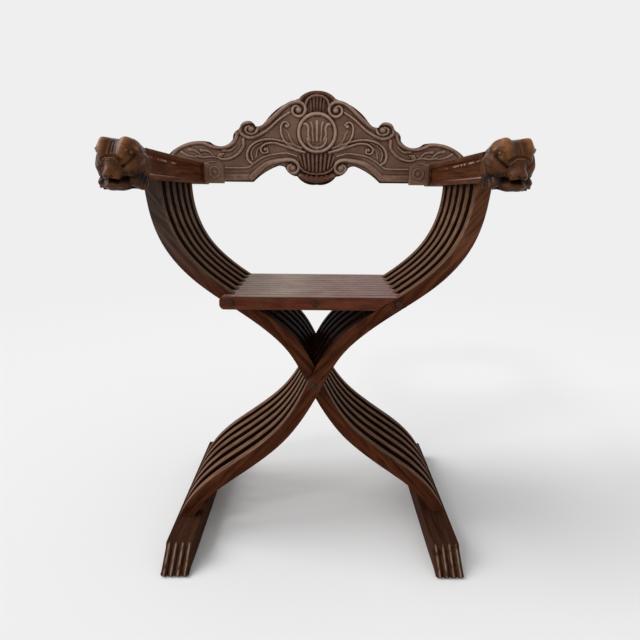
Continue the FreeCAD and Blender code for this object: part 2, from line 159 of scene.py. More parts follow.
# Rows of the crest's rear, points between the corners of its outline, and its relief
REAR_ROWS = 5
EDGE_STEP = 3
REAR_RELIEF = 0.20
GROUND_RELIEF = 0.48
RELIEF_CONTRAST = 0.11
RELIEF_RISE = 0.018

# Stage: half size of the floor, its points along a side, where its white changes and
# how far below it a piece is still seen
FLOOR_HALF = 40.0
FLOOR_COUNT = 9
FLOOR_FADE = (0.5, 3.0)
FLOOR_SIGHT = 0.35
# Name, share of the light, width in degrees and direction of each lamp
LAMPS = (
    ("main light", 0.87, 40.0, (-0.80, 0.05, 0.62)),
    ("small light", 0.13, 10.0, (-0.50, -0.62, 0.62)),
)

# Upper edge of the right half of the crest board: across as a share of the half
# width, up as a share of the height. One point is a straight run, two are an arc
# through the first to the second.
CROWN_SHARES = (0.0, 1.0)
TOP_EDGE_SHARES = (
    ((0.070, 0.980), (0.125, 0.918)),
    ((0.151, 0.904),),
    ((0.252, 0.827), (0.354, 0.659)),
    ((0.380, 0.628), (0.414, 0.625)),
    ((0.464, 0.683), (0.516, 0.611)),
    ((0.545, 0.572),),
    ((0.562, 0.540), (0.565, 0.490)),
    ((0.632, 0.413), (0.722, 0.452)),
    ((0.878, 0.442), (1.0, 0.322)),
)
# Lower edge of the same half, from the middle out to the tip of the wing
LOW_EDGE_SHARES = (
    ((0.070, 0.010), (0.133, 0.091)),
    ((0.185, 0.120), (0.214, 0.183)),
    ((0.243, 0.205), (0.275, 0.197)),
    ((0.365, 0.120), (0.435, 0.024)),
    ((0.960, 0.024),),
    ((1.0, 0.115),),
)

# Carved lines of the right half of the crest, in millimetres across from the
# middle and up from the floor. Each has its points, its width at the start and at
# the end, and its rise. The middle of the carving is at zero.
CREST_LINES = {
    "shoulder": (((134, 793), (117, 802), (97, 819), (78, 836), (62, 847), (46, 850), (32, 845), (27, 834),
        (32, 822), (44, 818), (55, 824), (57, 834), (50, 841), (42, 838)), 11.0, 6.0, 5.2),
    "second": (((63, 827), (81, 816), (97, 803), (113, 789), (129, 779), (148, 771), (164, 772),
        (178, 781)), 5.0, 9.0, 4.6),
    "small_scroll": (((178, 781), (176, 794), (168, 802), (155, 804), (143, 801), (137, 792), (142, 782),
        (152, 778), (163, 782), (165, 791), (156, 796)), 8.0, 5.0, 5.2),
    "petal_middle": (((0, 764), (0, 806)), 6.5, 9.5, 6.4),
    "petal_inner": (((8.5, 763), (10.5, 780), (10.5, 795), (14, 805)), 6.0, 6.5, 6.0),
    "petal_outer": (((16, 765), (20.5, 779), (19.5, 791), (24, 800), (34, 803)), 7.0, 8.5, 6.4),
    "cup": (((22, 770), (19, 759), (10, 750), (0, 748)), 6.0, 9.0, 6.2),
    "cup_bead": (((16, 763), (8, 758), (0, 757)), 4.0, 5.0, 4.6),
    "crown_rim": (((27, 842), (23, 854), (12, 862), (0, 864)), 5.0, 6.5, 6.0),
    "crown_roll": (((42, 851), (31, 863), (16, 870), (0, 872)), 8.0, 9.0, 4.4),
    "crown_flute_a": (((0, 829), (0, 861)), 4.0, 5.5, 3.6),
    "crown_flute_b": (((6.5, 829), (8, 859)), 4.0, 5.5, 3.6),
    "crown_flute_c": (((13, 828), (15.5, 853)), 4.0, 5.0, 3.4),
    "drop_flute_a": (((0, 735), (0, 695)), 7.5, 7.0, 3.8),
    "drop_flute_b": (((10, 735), (8.5, 696)), 7.5, 6.5, 3.8),
    "drop_flute_c": (((20.5, 734), (17, 698)), 7.5, 6.5, 3.7),
    "drop_flute_d": (((31, 733), (25.5, 702)), 7.0, 5.5, 4.0),
    "drop_flute_e": (((40, 729), (33, 707)), 5.0, 5.0, 3.6),
    "drop_rim": (((41, 707), (31, 697), (17, 691), (0, 689)), 4.0, 4.5, 6.0),
    "drop_roll": (((38, 686), (23, 679), (0, 676)), 11.0, 16.0, 5.0),
    "drop_bead_a": (((0, 682), (0, 674)), 10.0, 8.0, 5.2),
    "drop_bead_b": (((12, 682.5), (13.5, 675)), 9.0, 7.0, 5.1),
    "drop_bead_c": (((23, 685), (26, 678)), 8.0, 7.0, 5.0),
    "arch_band": (((153, 681), (136, 697), (117, 711), (96, 718), (74, 721), (57, 721), (46, 714),
        (42, 704), (46, 695), (57, 691), (66, 696), (67, 706), (60, 710)), 15.0, 6.0, 5.2),
    "arch_bead": (((215, 702), (173, 702), (157, 705), (140, 718), (119, 729), (96, 734), (70, 736),
        (47, 730)), 4.5, 4.5, 3.6),
    "flat_band": (((153, 681), (214, 681), (262, 681), (330, 681)), 16.0, 16.0, 4.8),
    "side_scroll": (((70, 794), (65, 800), (74, 806), (82, 800), (84, 788), (80, 772), (70, 758), (52, 746),
        (28, 738)), 4.5, 7.0, 4.8),
    "side_leaf": (((72, 788), (66, 779), (61, 766), (50, 753)), 4.0, 7.0, 3.0),
    "acanthus_outer": (((36, 748), (74, 761), (104, 767), (132, 764), (152, 753), (162, 737), (161, 721),
        (150, 711)), 5.0, 7.0, 4.4),
    "acanthus_inner": (((126, 760), (144, 751), (153, 737), (150, 720)), 3.0, 5.0, 3.6),
    "acanthus_third": (((124, 753), (138, 743), (142, 726)), 3.0, 5.0, 3.2),
    "acanthus_curl": (((47, 743), (77, 753), (100, 759), (121, 756), (131, 745), (126, 736), (115, 738),
        (116, 747)), 6.0, 4.5, 4.8),
    "acanthus_leaf": (((122, 730), (133, 722), (142, 716)), 3.0, 6.0, 3.0),
    "wing_bead": (((185, 777), (189, 766), (196, 757), (213, 748), (234, 747), (250, 751), (264, 757),
        (285, 757), (308, 751), (325, 742), (338, 728)), 8.0, 8.0, 5.0),
    "wing_scroll": (((171, 766), (172, 750), (184, 734), (201, 724), (217, 721), (229, 724), (227, 732),
        (218, 733)), 9.0, 5.0, 4.4),
    "wing_leaf_a": (((231, 724), (247, 727), (263, 725), (281, 728)), 4.0, 7.0, 3.6),
    "wing_leaf_b": (((242, 729), (253, 739), (270, 741)), 3.0, 9.0, 3.8),
    "wing_leaf_c": (((268, 727), (281, 739), (297, 743)), 3.0, 9.0, 3.6),
    "wing_leaf_d": (((282, 725), (300, 729), (316, 737)), 3.0, 8.0, 3.4),
    "wing_leaf_e": (((188, 752), (202, 741), (219, 741)), 3.0, 8.0, 3.4),
    "wing_leaf_f": (((296, 712), (310, 716), (327, 718)), 3.0, 8.0, 3.2),
    "wing_leaf_g": (((226, 712), (244, 715), (262, 711)), 3.0, 6.0, 2.6),
}
# Round eyes of the scrolls: across, up, radius and rise, in millimetres
CREST_EYES = (
    (43.0, 832.0, 7.5, 5.4),
    (153.0, 789.0, 8.0, 5.4),
    (185.5, 781.0, 6.5, 4.6),
    (57.0, 702.0, 8.5, 5.6),
    (71.0, 797.0, 4.5, 5.0),
    (120.0, 744.0, 5.0, 4.6),
    (224.0, 729.0, 4.0, 4.4),
)
# Ring round the flower: across, up, radius, width and rise, in millimetres
RING = (0.0, 782.4, 42.3, 9.0, 6.2)


def colour_of(name, description, default):
    """Colour setting."""
    return bpy.props.FloatVectorProperty(
        name=name, description=description, size=3, subtype="COLOR", default=default)


def length_of(name, description, default):
    """Length setting, in metres."""
    return bpy.props.FloatProperty(
        name=name, description=description, default=default, subtype="DISTANCE", unit="LENGTH")


def amount_of(name, description, default):
    """Number setting that is never below nothing."""
    return bpy.props.FloatProperty(name=name, description=description, default=default, min=0.0)


def count_of(name, description, default, least):
    """Whole number setting with its least value."""
    return bpy.props.IntProperty(name=name, description=description, default=default, min=least)


class WoodSettings(bpy.types.PropertyGroup):
    """Colours and finish of the walnut."""

    rib_dark: colour_of("Rib dark", "Darkest colour of the ribs", (0.022, 0.0062, 0.0032))
    rib_light: colour_of("Rib light", "Lightest colour of the ribs", (0.108, 0.032, 0.0135))
    carving_dark: colour_of("Carving dark", "Colour in the hollows of the crest", (0.020, 0.0085, 0.006))
    carving_ground: colour_of("Carving ground", "Colour of the crest's even ground", (0.247, 0.143, 0.101))
    carving_light: colour_of("Carving light", "Colour of the crest's high spots", (0.52, 0.355, 0.28))
    head_warm: colour_of("Head warm", "Warm colour of the heads' ground", (0.13, 0.042, 0.011))
    gloss: bpy.props.FloatProperty(
        name="Gloss", description="Roughness of the waxed wood", default=0.46, min=0.05, max=1.0)


class CrestSettings(bpy.types.PropertyGroup):
    """Sizes of the carved crest board."""

    columns: count_of("Columns", "Grid columns across one half", 330, 60)
    rows: count_of("Rows", "Grid rows from the lower to the upper edge", 112, 30)
    depth: length_of("Depth", "Depth of the carving", 7.0 * MM)
    edge_round: length_of("Edge round", "Rounding of the board's front edge", 2.2 * MM)


class HeadSettings(bpy.types.PropertyGroup):
    """Sizes of the carved lion heads."""

    rings: count_of("Rings", "Grid rings from the nose to the arm", 210, 40)
    spokes: count_of("Spokes", "Grid spokes round the head", 220, 40)


class StageSettings(bpy.types.PropertyGroup):
    """Camera and light of the studio."""

    focal: amount_of("Focal length", "Lens in millimetres", 28.125)
    rise: bpy.props.FloatProperty(name="Rise", description="Shift of the picture upwards", default=-0.0323)
    aim: bpy.props.FloatVectorProperty(
        name="Aim", description="Camera's pitch down, its turn and its roll", size=3, subtype="EULER",
        default=(math.radians(12.0), math.radians(-0.3), math.radians(0.57)))
    eye: bpy.props.FloatVectorProperty(
        name="Eye", description="Place of the camera", size=3, subtype="XYZ",
        default=(0.0044, -0.9818, 0.646))
    white: amount_of("White", "Brightness of the backdrop", 0.863)
    # Lighter floor round the chair: painted light that evens out the chair's shade on it
    near_white_painted_light: amount_of("Near white", "Brightness of the floor round the chair", 0.905)
    sky: amount_of("Sky", "Strength of the even light", 0.53)
    sun: amount_of("Sun", "Strength of both lamps together", 2.40)


def smooth_step(values, low, high):
    """Cubic step from 0 at low to 1 at high."""
    share = np.clip((values - low) / (high - low), 0.0, 1.0)
    return share * share * (3.0 - 2.0 * share)


def arc_points(start, middle, end, count):
    """Points of the circle through three points, start left out, end included."""
    start, middle, end = (np.array(point, float) for point in (start, middle, end))
    a = middle - start
    b = end - start
    cross = 2.0 * (a[0] * b[1] - a[1] * b[0])
    centre = start + np.array((b[1] * (a @ a) - a[1] * (b @ b), a[0] * (b @ b) - b[0] * (a @ a))) / cross
    first = math.atan2(*(start - centre)[::-1])
    turn = (math.atan2(*(end - centre)[::-1]) - first) % math.tau
    via = (math.atan2(*(middle - centre)[::-1]) - first) % math.tau
    if via > turn:
        turn -= math.tau
    angles = first + turn * np.linspace(0.0, 1.0, count + 1)[1:]
    radius = np.hypot(*(start - centre))
    return centre + radius * np.stack((np.cos(angles), np.sin(angles)), axis=1)


def edge_curve(start, moves, low, high):
    """Dense points of an edge of the crest, from shares, in metres across and up."""
    def place(point):
        return (point[0] * high[0], low[2] + point[1] * (high[2] - low[2]))
    here = place(start)
    rows = [np.array([here])]
    for move in moves:
        there = place(move[-1])
        if len(move) == 1:
            shares = np.linspace(0.0, 1.0, 13)[1:, None]
            rows.append(np.array(here) * (1.0 - shares) + np.array(there) * shares)
        else:
            rows.append(arc_points(here, place(move[0]), there, 40))
        here = there
    return np.concatenate(rows)


def along(points, count):
    """Evenly spaced points along a dense curve."""
    steps = np.linalg.norm(np.diff(points, axis=0), axis=1)
    length = np.concatenate(([0.0], np.cumsum(steps)))
    want = np.linspace(0.0, length[-1], count)
    return np.stack([np.interp(want, length, points[:, axis]) for axis in range(points.shape[1])], axis=1)


def smooth_line(points, count=48):
    """Smooth curve through a few points, as points evenly spaced along it."""
    points = np.array(points, float)
    if len(points) == 2:
        return along(points, count)
    padded = np.vstack((2 * points[0] - points[1], points, 2 * points[-1] - points[-2]))
    rows = []
    for index in range(len(points) - 1):
        before, here, there, after = padded[index:index + 4]
        share = np.linspace(0.0, 1.0, 12, endpoint=False)[:, None]
        rows.append(0.5 * (2 * here + (there - before) * share
                           + (2 * before - 5 * here + 4 * there - after) * share ** 2
                           + (3 * here - before - 3 * there + after) * share ** 3))
    rows.append(points[-1:])
    return along(np.concatenate(rows), count)


def line_distance(x, z, line):
    """Least distance from each point to a line of short runs, and how far along it lies."""
    best = np.full(x.shape, np.inf)
    where = np.zeros(x.shape)
    last = len(line) - 1
    for index in range(last):
        ax, az = line[index]
        dx, dz = line[index + 1] - line[index]
        share = np.clip(((x - ax) * dx + (z - az) * dz) / (dx * dx + dz * dz), 0.0, 1.0)
        gap = np.hypot(x - ax - share * dx, z - az - share * dz)
        near = gap < best
        best = np.where(near, gap, best)
        where = np.where(near, (index + share) / last, where)
    return best, where


def half_round(distance, half_width, rise):
    """Height of a bead with a half round section, nothing beyond its half width."""
    inside = np.clip(1.0 - (distance / half_width) ** 2, 0.0, 1.0)
    return rise * np.sqrt(inside)


def moat(distance, half_width, depth, reach):
    """Cut that runs along both sides of a bead, deepest at its foot."""
    away = np.abs(distance - half_width)
    return -depth * np.exp(-(away / reach) ** 2)


def crest_height(x, z):
    """Height of the carving in millimetres over its ground, at points in millimetres.

    The highest of all beads, eyes, ring and dish, with a narrow cut at each foot.
    """
    x = np.abs(x)
    height = np.zeros(x.shape)
    cuts = np.zeros(x.shape)
    for points, start, end, rise in CREST_LINES.values():
        line = smooth_line(points)
        reach = max(start, end) + 6.0
        low = line.min(axis=0) - reach
        high = line.max(axis=0) + reach
        near = (x > low[0]) & (x < high[0]) & (z > low[1]) & (z < high[1])
        gap, share = line_distance(x[near], z[near], line)
        half = 0.5 * (start + (end - start) * share)
        height[near] = np.maximum(height[near], half_round(gap, half, rise))
        cuts[near] = np.minimum(cuts[near], moat(gap, half + 0.4, 1.1, 0.8))
    for across, up, radius, rise in CREST_EYES:
        gap = np.hypot(x - across, z - up)
        height = np.maximum(height, half_round(gap, radius, rise))
        cuts = np.minimum(cuts, moat(gap, radius + 0.4, 1.5, 1.0))
    across, up, radius, width, rise = RING
    gap = np.hypot(x - across, z - up)
    height = np.where(gap < radius, np.maximum(height, 1.2 + 1.6 * (1.0 - (gap / radius) ** 2)), height)
    ring = half_round(np.abs(gap - radius), width / 2, rise)
    clear = np.abs(gap - radius) < width / 2 + 1.0
    height = np.where(clear, ring, height)
    cuts = np.where(clear, moat(np.abs(gap - radius), width / 2 + 0.5, 1.6, 1.1), cuts)
    return height + cuts * np.exp(-np.maximum(height, 0.0) / 3.0)


def quads(index):
    """Quads between neighbours of a grid of point numbers."""
    corners = (index[:-1, :-1], index[:-1, 1:], index[1:, 1:], index[1:, :-1])
    return np.stack(corners, axis=-1).reshape(-1, 4)


def grid_faces(rows, columns, start=0):
    """Quads of a grid of points stored row by row."""
    return quads(start + np.arange(rows * columns).reshape(rows, columns))


def strip(first, second):
    """Quads between two lines of point numbers."""
    return np.stack((first[:-1], first[1:], second[1:], second[:-1]), axis=1)


def rounded_drop(gap, radius):
    """How far a rounded edge lies back at points with a gap to its outline."""
    near = np.clip(radius - gap, 0.0, radius)
    return radius - np.sqrt(radius ** 2 - near ** 2)


def unit(vectors):
    """Vectors scaled to length one."""
    return vectors / np.linalg.norm(vectors, axis=-1, keepdims=True)


def mesh_piece(name, points, faces, body, values=None):
    """New piece from whole arrays of points and quads, with named values for each point."""
    mesh = bpy.data.meshes.new(name)
    mesh.from_pydata(np.asarray(points, float).tolist(), [], np.asarray(faces).tolist())
    mesh.shade_smooth()
    for key, data in (values or {}).items():
        layer = mesh.attributes.new(key, "FLOAT", "POINT")
        layer.data.foreach_set("value", np.asarray(data, np.float32).ravel())
    mesh.update()
    piece = bpy.data.objects.new(name, mesh)
    bpy.context.scene.collection.objects.link(piece)
    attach(piece, body)
    return piece


def weld(piece, flat_axis=None):
    """Merges the doubled points at poles and seams and turns all faces outwards.

    Faces square to flat_axis are shaded flat, all others smooth.
    """
    work = bmesh.new()
    work.from_mesh(piece.data)
    bmesh.ops.remove_doubles(work, verts=work.verts, dist=1e-6)
    bmesh.ops.dissolve_degenerate(work, edges=work.edges, dist=1e-7)
    bmesh.ops.recalc_face_normals(work, faces=work.faces)
    for face in work.faces:
        face.smooth = flat_axis is None or abs(face.normal[flat_axis]) < 0.999
    work.to_mesh(piece.data)
    work.free()


def box_blur(grid, radius):
    """Mean over a square window on a grid, by running sums."""
    size = 2 * radius + 1
    for axis in (0, 1):
        pad = [(0, 0), (0, 0)]
        pad[axis] = (radius + 1, radius)
        total = np.cumsum(np.pad(grid, pad, mode="edge"), axis=axis)
        upper = np.take(total, np.arange(size, total.shape[axis]), axis=axis)
        lower = np.take(total, np.arange(0, total.shape[axis] - size), axis=axis)
        grid = (upper - lower) / size
    return grid


def relief_of(height, reach):
    """Relief of a carved height in millimetres: about a half on even ground, less in a hollow, more on a
    crest; it darkens hollows as grime and painted shade and lightens high spots as rubbing and painted
    highlight.
    """
    return GROUND_RELIEF + RELIEF_CONTRAST * (height - box_blur(height, reach)) + RELIEF_RISE * height


def new_group(name, inputs, outputs):
    """Empty shader node group; an input has a name, a kind and a default or None."""
    group = bpy.data.node_groups.new(name, "ShaderNodeTree")
    for socket, kind, default in inputs:
        item = group.interface.new_socket(socket, in_out="INPUT", socket_type=kind)
        if default is not None:
            item.default_value = default
    for socket in outputs:
        group.interface.new_socket(socket, in_out="OUTPUT", socket_type="NodeSocketFloat")
    group.nodes.new("NodeGroupInput").name = "in"
    group.nodes.new("NodeGroupOutput").name = "out"
    return group


def plug(tree, source, target):
    """Links a signal or a socket into an input, or writes a plain value there."""
    if isinstance(source, Signal):
        source = source.socket
    if isinstance(source, bpy.types.NodeSocket):
        tree.links.new(source, target)
    else:
        target.default_value = source


def add(tree, kind, links=(), **values):
    """Adds a node, sets its properties and plugs the sources into its inputs."""
    node = tree.nodes.new(kind)
    for key, value in values.items():
        setattr(node, key, value)
    for socket, source in links:
        plug(tree, source, node.inputs[socket])
    return node


def math_node(tree, operation, *sources):
    """Outcome of one math node of up to three sources."""
    node = add(tree, "ShaderNodeMath", enumerate(sources), operation=operation)
    return Signal(tree, node.outputs[0])


class Signal:
    """One value in a shader, which sums, products and masks are written with."""

    def __init__(self, tree, socket):
        self.tree = tree
        self.socket = socket

    def __add__(self, other):
        return math_node(self.tree, "ADD", self, other)

    def __sub__(self, other):
        return math_node(self.tree, "SUBTRACT", self, other)

    def __rsub__(self, other):
        return math_node(self.tree, "SUBTRACT", other, self)

    def __mul__(self, other):
        return math_node(self.tree, "MULTIPLY", self, other)

    def __truediv__(self, other):
        return math_node(self.tree, "DIVIDE", self, other)

    def __abs__(self):
        return math_node(self.tree, "ABSOLUTE", self)

    def highest(self, other):
        """The greater of two signals."""
        return math_node(self.tree, "MAXIMUM", self, other)

    def fraction(self):
        """The part after the point."""
        return math_node(self.tree, "FRACT", self)

    def ramp(self, low, high):
        """Mask that rises from 0 at low to 1 at high."""
        links = (("Value", self), ("From Min", low), ("From Max", high))
        node = add(self.tree, "ShaderNodeMapRange", links, interpolation_type="SMOOTHSTEP")
        return Signal(self.tree, node.outputs[0])

    def bell(self, centre, width):
        """Mask that is 1 at the centre and falls off to both sides like a bell."""
        away = (self - centre) / width
        return math_node(self.tree, "EXPONENT", away * away * -1.0)


def mix_colour(tree, factor, first, second):
    """Mix of two colours, each a socket or three numbers."""
    node = add(tree, "ShaderNodeMix", ((0, factor),), data_type="RGBA")
    for index, colour in ((6, first), (7, second)):
        plain = not isinstance(colour, bpy.types.NodeSocket)
        plug(tree, (*colour, 1.0) if plain else colour, node.inputs[index])
    return node.outputs[2]


def tint(colour, shares):
    """Colour with each of its parts times its own share."""
    return tuple(part * share for part, share in zip(colour, shares))


def noise(tree, place, scale, detail, roughness=0.5):
    """Noise between 0 and 1 over a place."""
    links = (("Vector", place), ("Scale", scale), ("Detail", detail), ("Roughness", roughness))
    return Signal(tree, add(tree, "ShaderNodeTexNoise", links).outputs[0])


def split(tree, vector):
    """The three parts of a vector."""
    node = add(tree, "ShaderNodeSeparateXYZ", (("Vector", vector),))
    return [Signal(tree, output) for output in node.outputs]


def grain_group():
    """Walnut grain: long fibres, dark pores and slow clouds of colour along one axis."""
    inputs = (("Vector", "NodeSocketVector", None), ("Turn", "NodeSocketVector", None),
              ("Stretch", "NodeSocketFloat", GRAIN_STRETCH))
    group = new_group("walnut grain", inputs, ("Grain", "Pores", "Clouds"))
    source = group.nodes["in"].outputs
    links = (("Vector", source["Vector"]), ("Rotation", source["Turn"]))
    turned = add(group, "ShaderNodeVectorRotate", links, rotation_type="EULER_XYZ").outputs[0]
    across, deep, length = split(group, turned)
    links = ((0, across), (1, deep), (2, length / source["Stretch"]))
    fibre = add(group, "ShaderNodeCombineXYZ", links).outputs[0]
    links = ((0, fibre), (1, noise(group, turned, 9.0, 2.0)))
    shifted = add(group, "ShaderNodeVectorMath", links, operation="ADD").outputs[0]
    links = ((0, GRAIN_WOBBLE), (4, fibre), (5, shifted))
    moved = add(group, "ShaderNodeMix", links, data_type="VECTOR").outputs[1]
    masks = {
        "Grain": noise(group, moved, 150.0, 5.0, 0.62).ramp(0.30, 0.70),
        "Pores": noise(group, fibre, 620.0, 2.0).ramp(0.56, 0.70),
        "Clouds": noise(group, fibre, 26.0, 3.0).ramp(0.32, 0.68),
    }
    for name, mask in masks.items():
        plug(group, mask, group.nodes["out"].inputs[name])
    return group


def wear_group():
    """Rubbed edges: a mask from the bend of the surface, broken by noise."""
    inputs = (("Vector", "NodeSocketVector", None), ("Amount", "NodeSocketFloat", 1.0))
    group = new_group("rubbed edges", inputs, ("Edge",))
    source = group.nodes["in"].outputs
    bend = Signal(group, add(group, "ShaderNodeNewGeometry").outputs["Pointiness"])
    broken = noise(group, source["Vector"], 40.0, 4.0).ramp(0.38, 0.66)
    edge = bend.ramp(0.505, 0.56) * broken * source["Amount"]
    plug(group, edge, group.nodes["out"].inputs["Edge"])
    return group


def place_group(tree, name, links):
    """Puts a shared group into a material, built the first time; returns its outputs."""
    makers = {"walnut grain": grain_group, "rubbed edges": wear_group}
    group = bpy.data.node_groups.get(name) or makers[name]()
    node = add(tree, "ShaderNodeGroup", links, node_tree=group)
    return {output.name: Signal(tree, output) for output in node.outputs}


def new_material(name, roughness, sheen):
    """Material with one Principled shader; returns it, its tree and the shader."""
    material = bpy.data.materials.new(name)
    material.use_nodes = True
    tree = material.node_tree
    shader = tree.nodes["Principled BSDF"]
    shader.inputs["Roughness"].default_value = roughness
    shader.inputs["Specular IOR Level"].default_value = sheen
    return material, tree, shader


def add_bump(tree, shader, height, strength, distance):
    """Bump from one height into the shader's normal."""
    links = (("Height", height), ("Strength", strength), ("Distance", distance))
    plug(tree, add(tree, "ShaderNodeBump", links).outputs[0], shader.inputs["Normal"])


def walnut(name, dark, light, roughness, turn, wear, shift, sheen, rubbed,
           worn=MARK_AND_LIGHT_COLOURS["rubbed_edge"], shaded_faces=None):
    """Waxed walnut: grain, pores and clouds between two colours, lighter on its edges.

    rubbed makes the mask and the colour of other places from the tree, the place and the
    grain, as wear, painted light and painted shade; shaded_faces says which faces across the
    stack get painted shade: front, rear or both.
    """
    material, tree, shader = new_material(name, roughness, sheen)
    coordinates = add(tree, "ShaderNodeTexCoord").outputs
    here = coordinates["Object"]
    place = add(tree, "ShaderNodeMapping", (("Vector", here), ("Location", (shift, shift, shift)))).outputs[0]
    grain = place_group(tree, "walnut grain", (("Vector", place), ("Turn", turn)))
    rub = place_group(tree, "rubbed edges", (("Vector", place), ("Amount", wear)))
    middle = tuple((a + b) / 2 for a, b in zip(dark, light))
    colour = mix_colour(tree, grain["Grain"], dark, light)
    colour = mix_colour(tree, grain["Clouds"] * 0.55, colour, middle)
    colour = mix_colour(tree, grain["Pores"] * 0.55, colour, dark)
    colour = mix_colour(tree, rub["Edge"], colour, worn)
    mask, marks = rubbed(tree, here, grain)
    colour = mix_colour(tree, mask, colour, marks)
    # Painted shade on the rib faces that face the next rib across the stack
    if shaded_faces:
        facing = split(tree, coordinates["Normal"])[1]
        if shaded_faces == "both":
            facing = abs(facing)
        elif shaded_faces == "front":
            facing = facing * -1.0
        gap_shade = tuple(GAP_SHADE_SHARE * part for part in dark)
        colour = mix_colour(tree, facing.ramp(0.8, 0.95) * 0.85, colour, gap_shade)
    plug(tree, colour, shader.inputs["Base Color"])
    rough = grain["Grain"] * 0.10 + grain["Pores"] * 0.12 + (roughness - 0.05)
    plug(tree, rough, shader.inputs["Roughness"])
    add_bump(tree, shader, grain["Grain"] - grain["Pores"], 0.35, 0.25 * MM)
    return material


def rib_edges_and_shade(tree, place, grain):
    """Greyer or warmer wood above the seat, edges painted lighter as if lit, and shade painted to match the
    photo.

    The edges near the middle between pivot and seat, and those under the arms, are
    darker than their wood: in the photo little light gets there.
    """
    x, _, z = split(tree, place)
    facing = split(tree, add(tree, "ShaderNodeTexCoord").outputs["Normal"])[1]
    edge = 1.0 - abs(facing).ramp(0.3, 0.7)
    near = 1.0 - abs(x).ramp(*RIB_SPANS["near_middle"])
    below = z.ramp(*RIB_SPANS["above_pivot"]) * (1.0 - z.ramp(*RIB_SPANS["at_seat"]))
    shaded = edge * near * below
    grey = mix_colour(tree, grain["Grain"], MARK_AND_LIGHT_COLOURS["grey_dark"], MARK_AND_LIGHT_COLOURS["grey_light"])
    warm = mix_colour(tree, grain["Grain"], MARK_AND_LIGHT_COLOURS["warm_dark"], MARK_AND_LIGHT_COLOURS["warm_light"])
    upper = mix_colour(tree, x.ramp(*RIB_SPANS["left_to_right"]), grey, warm)
    # Painted light: the rib edges get a lighter colour than the faces, standing in for the light they catch
    waxed = mix_colour(tree, grain["Grain"], MARK_AND_LIGHT_COLOURS["lit_edge_dark"], MARK_AND_LIGHT_COLOURS["lit_edge_light"])
    # Painted shade on the rib edges just under the arms
    under_arm = z.ramp(*RIB_SPANS["under_arm"]) * 0.75
    waxed = mix_colour(tree, under_arm, waxed, MARK_AND_LIGHT_COLOURS["edge_shade_under_arm"])
    colour = mix_colour(tree, shaded, mix_colour(tree, edge, upper, waxed), MARK_AND_LIGHT_COLOURS["shade"])
    mask = (z.ramp(*RIB_SPANS["above_seat"]) * 0.8).highest(edge * 0.75)
    return mask.highest(shaded * 0.9), colour


def seat_top_wear_and_sheen(tree, place, grain):
    """Top of the seat worn and given a painted sheen, palest left of the middle, with painted shade beside
    each gap between planks.
    """
    x, y, z = split(tree, place)
    top = z.ramp(SEAT_TOP - 2.2 * MM, SEAT_TOP - 0.6 * MM)
    # Painted sheen: a pale patch left of the middle, over pale noise for wear
    pale = noise(tree, place, 22.0, 4.0).ramp(0.3, 0.7) * 0.35 + x.bell(*SEAT_SHEEN) * 0.52
    pale = pale * (1.0 - x.ramp(*SEAT_FADE))
    worn = mix_colour(tree, pale, MARK_AND_LIGHT_COLOURS["seat_red"], MARK_AND_LIGHT_COLOURS["seat_pale_wear_and_sheen"])
    # Painted shade: a dark line on the plank tops beside each gap
    plank = ((y - SLAT_START) / SLAT_PITCH).fraction()
    line = 1.0 - plank.ramp(0.0, 0.20) * (1.0 - plank.ramp(0.86, 1.0))
    colour = mix_colour(tree, line * 0.75, worn, MARK_AND_LIGHT_COLOURS["seat_gap_shade"])
    return top * 0.95 - grain["Pores"] * 0.3, colour


def claw_highlights(tree, place, grain):
    """Painted highlights along the ridges of the four claws at the front of a foot."""
    x, y, _ = split(tree, place)
    claw = ((abs(x) - FOOT_INNER) / CLAW_PITCH).fraction()
    front = y.ramp(CLAW_REAR, CLAW_REAR - 4.0 * MM)
    broken = noise(tree, place, 70.0, 3.0)
    # Painted highlight colours, dim to bright
    colour = mix_colour(tree, broken, MARK_AND_LIGHT_COLOURS["claw_highlight_dim"], MARK_AND_LIGHT_COLOURS["claw_highlight_bright"])
    return claw.bell(0.5, 0.11) * front * broken.ramp(0.30, 0.52), colour


def arm_dashes_and_ledge_highlight(tree, place, grain):
    """Short pale dashes along the arms' inner faces, and a painted highlight along the ledge of their panels.
    """
    x, y, z = split(tree, place)
    row = (z + y * ARM_DASH_SLOPE).bell(ARM_DASH_HEIGHT, 1.1 * MM)
    dashes = noise(tree, place, 75.0, 1.0).ramp(0.46, 0.54)
    pale_dashes = row * dashes * y.bell(*ARM_DASH_REACH)
    # Painted highlight along the ledge at the foot of each panel
    ledge = z.bell(PANEL_LOW, 0.8 * MM) * (1.0 - y.ramp(*LEDGE_FADE))
    inside = 1.0 - abs(x).ramp(*ARM_INSIDE)
    return pale_dashes.highest(ledge * 0.75) * inside, MARK_AND_LIGHT_COLOURS["arm_dashes_and_highlight"]


def attribute(tree, name):
    """Value that a piece carries at each of its points."""
    return Signal(tree, add(tree, "ShaderNodeAttribute", attribute_name=name).outputs["Fac"])


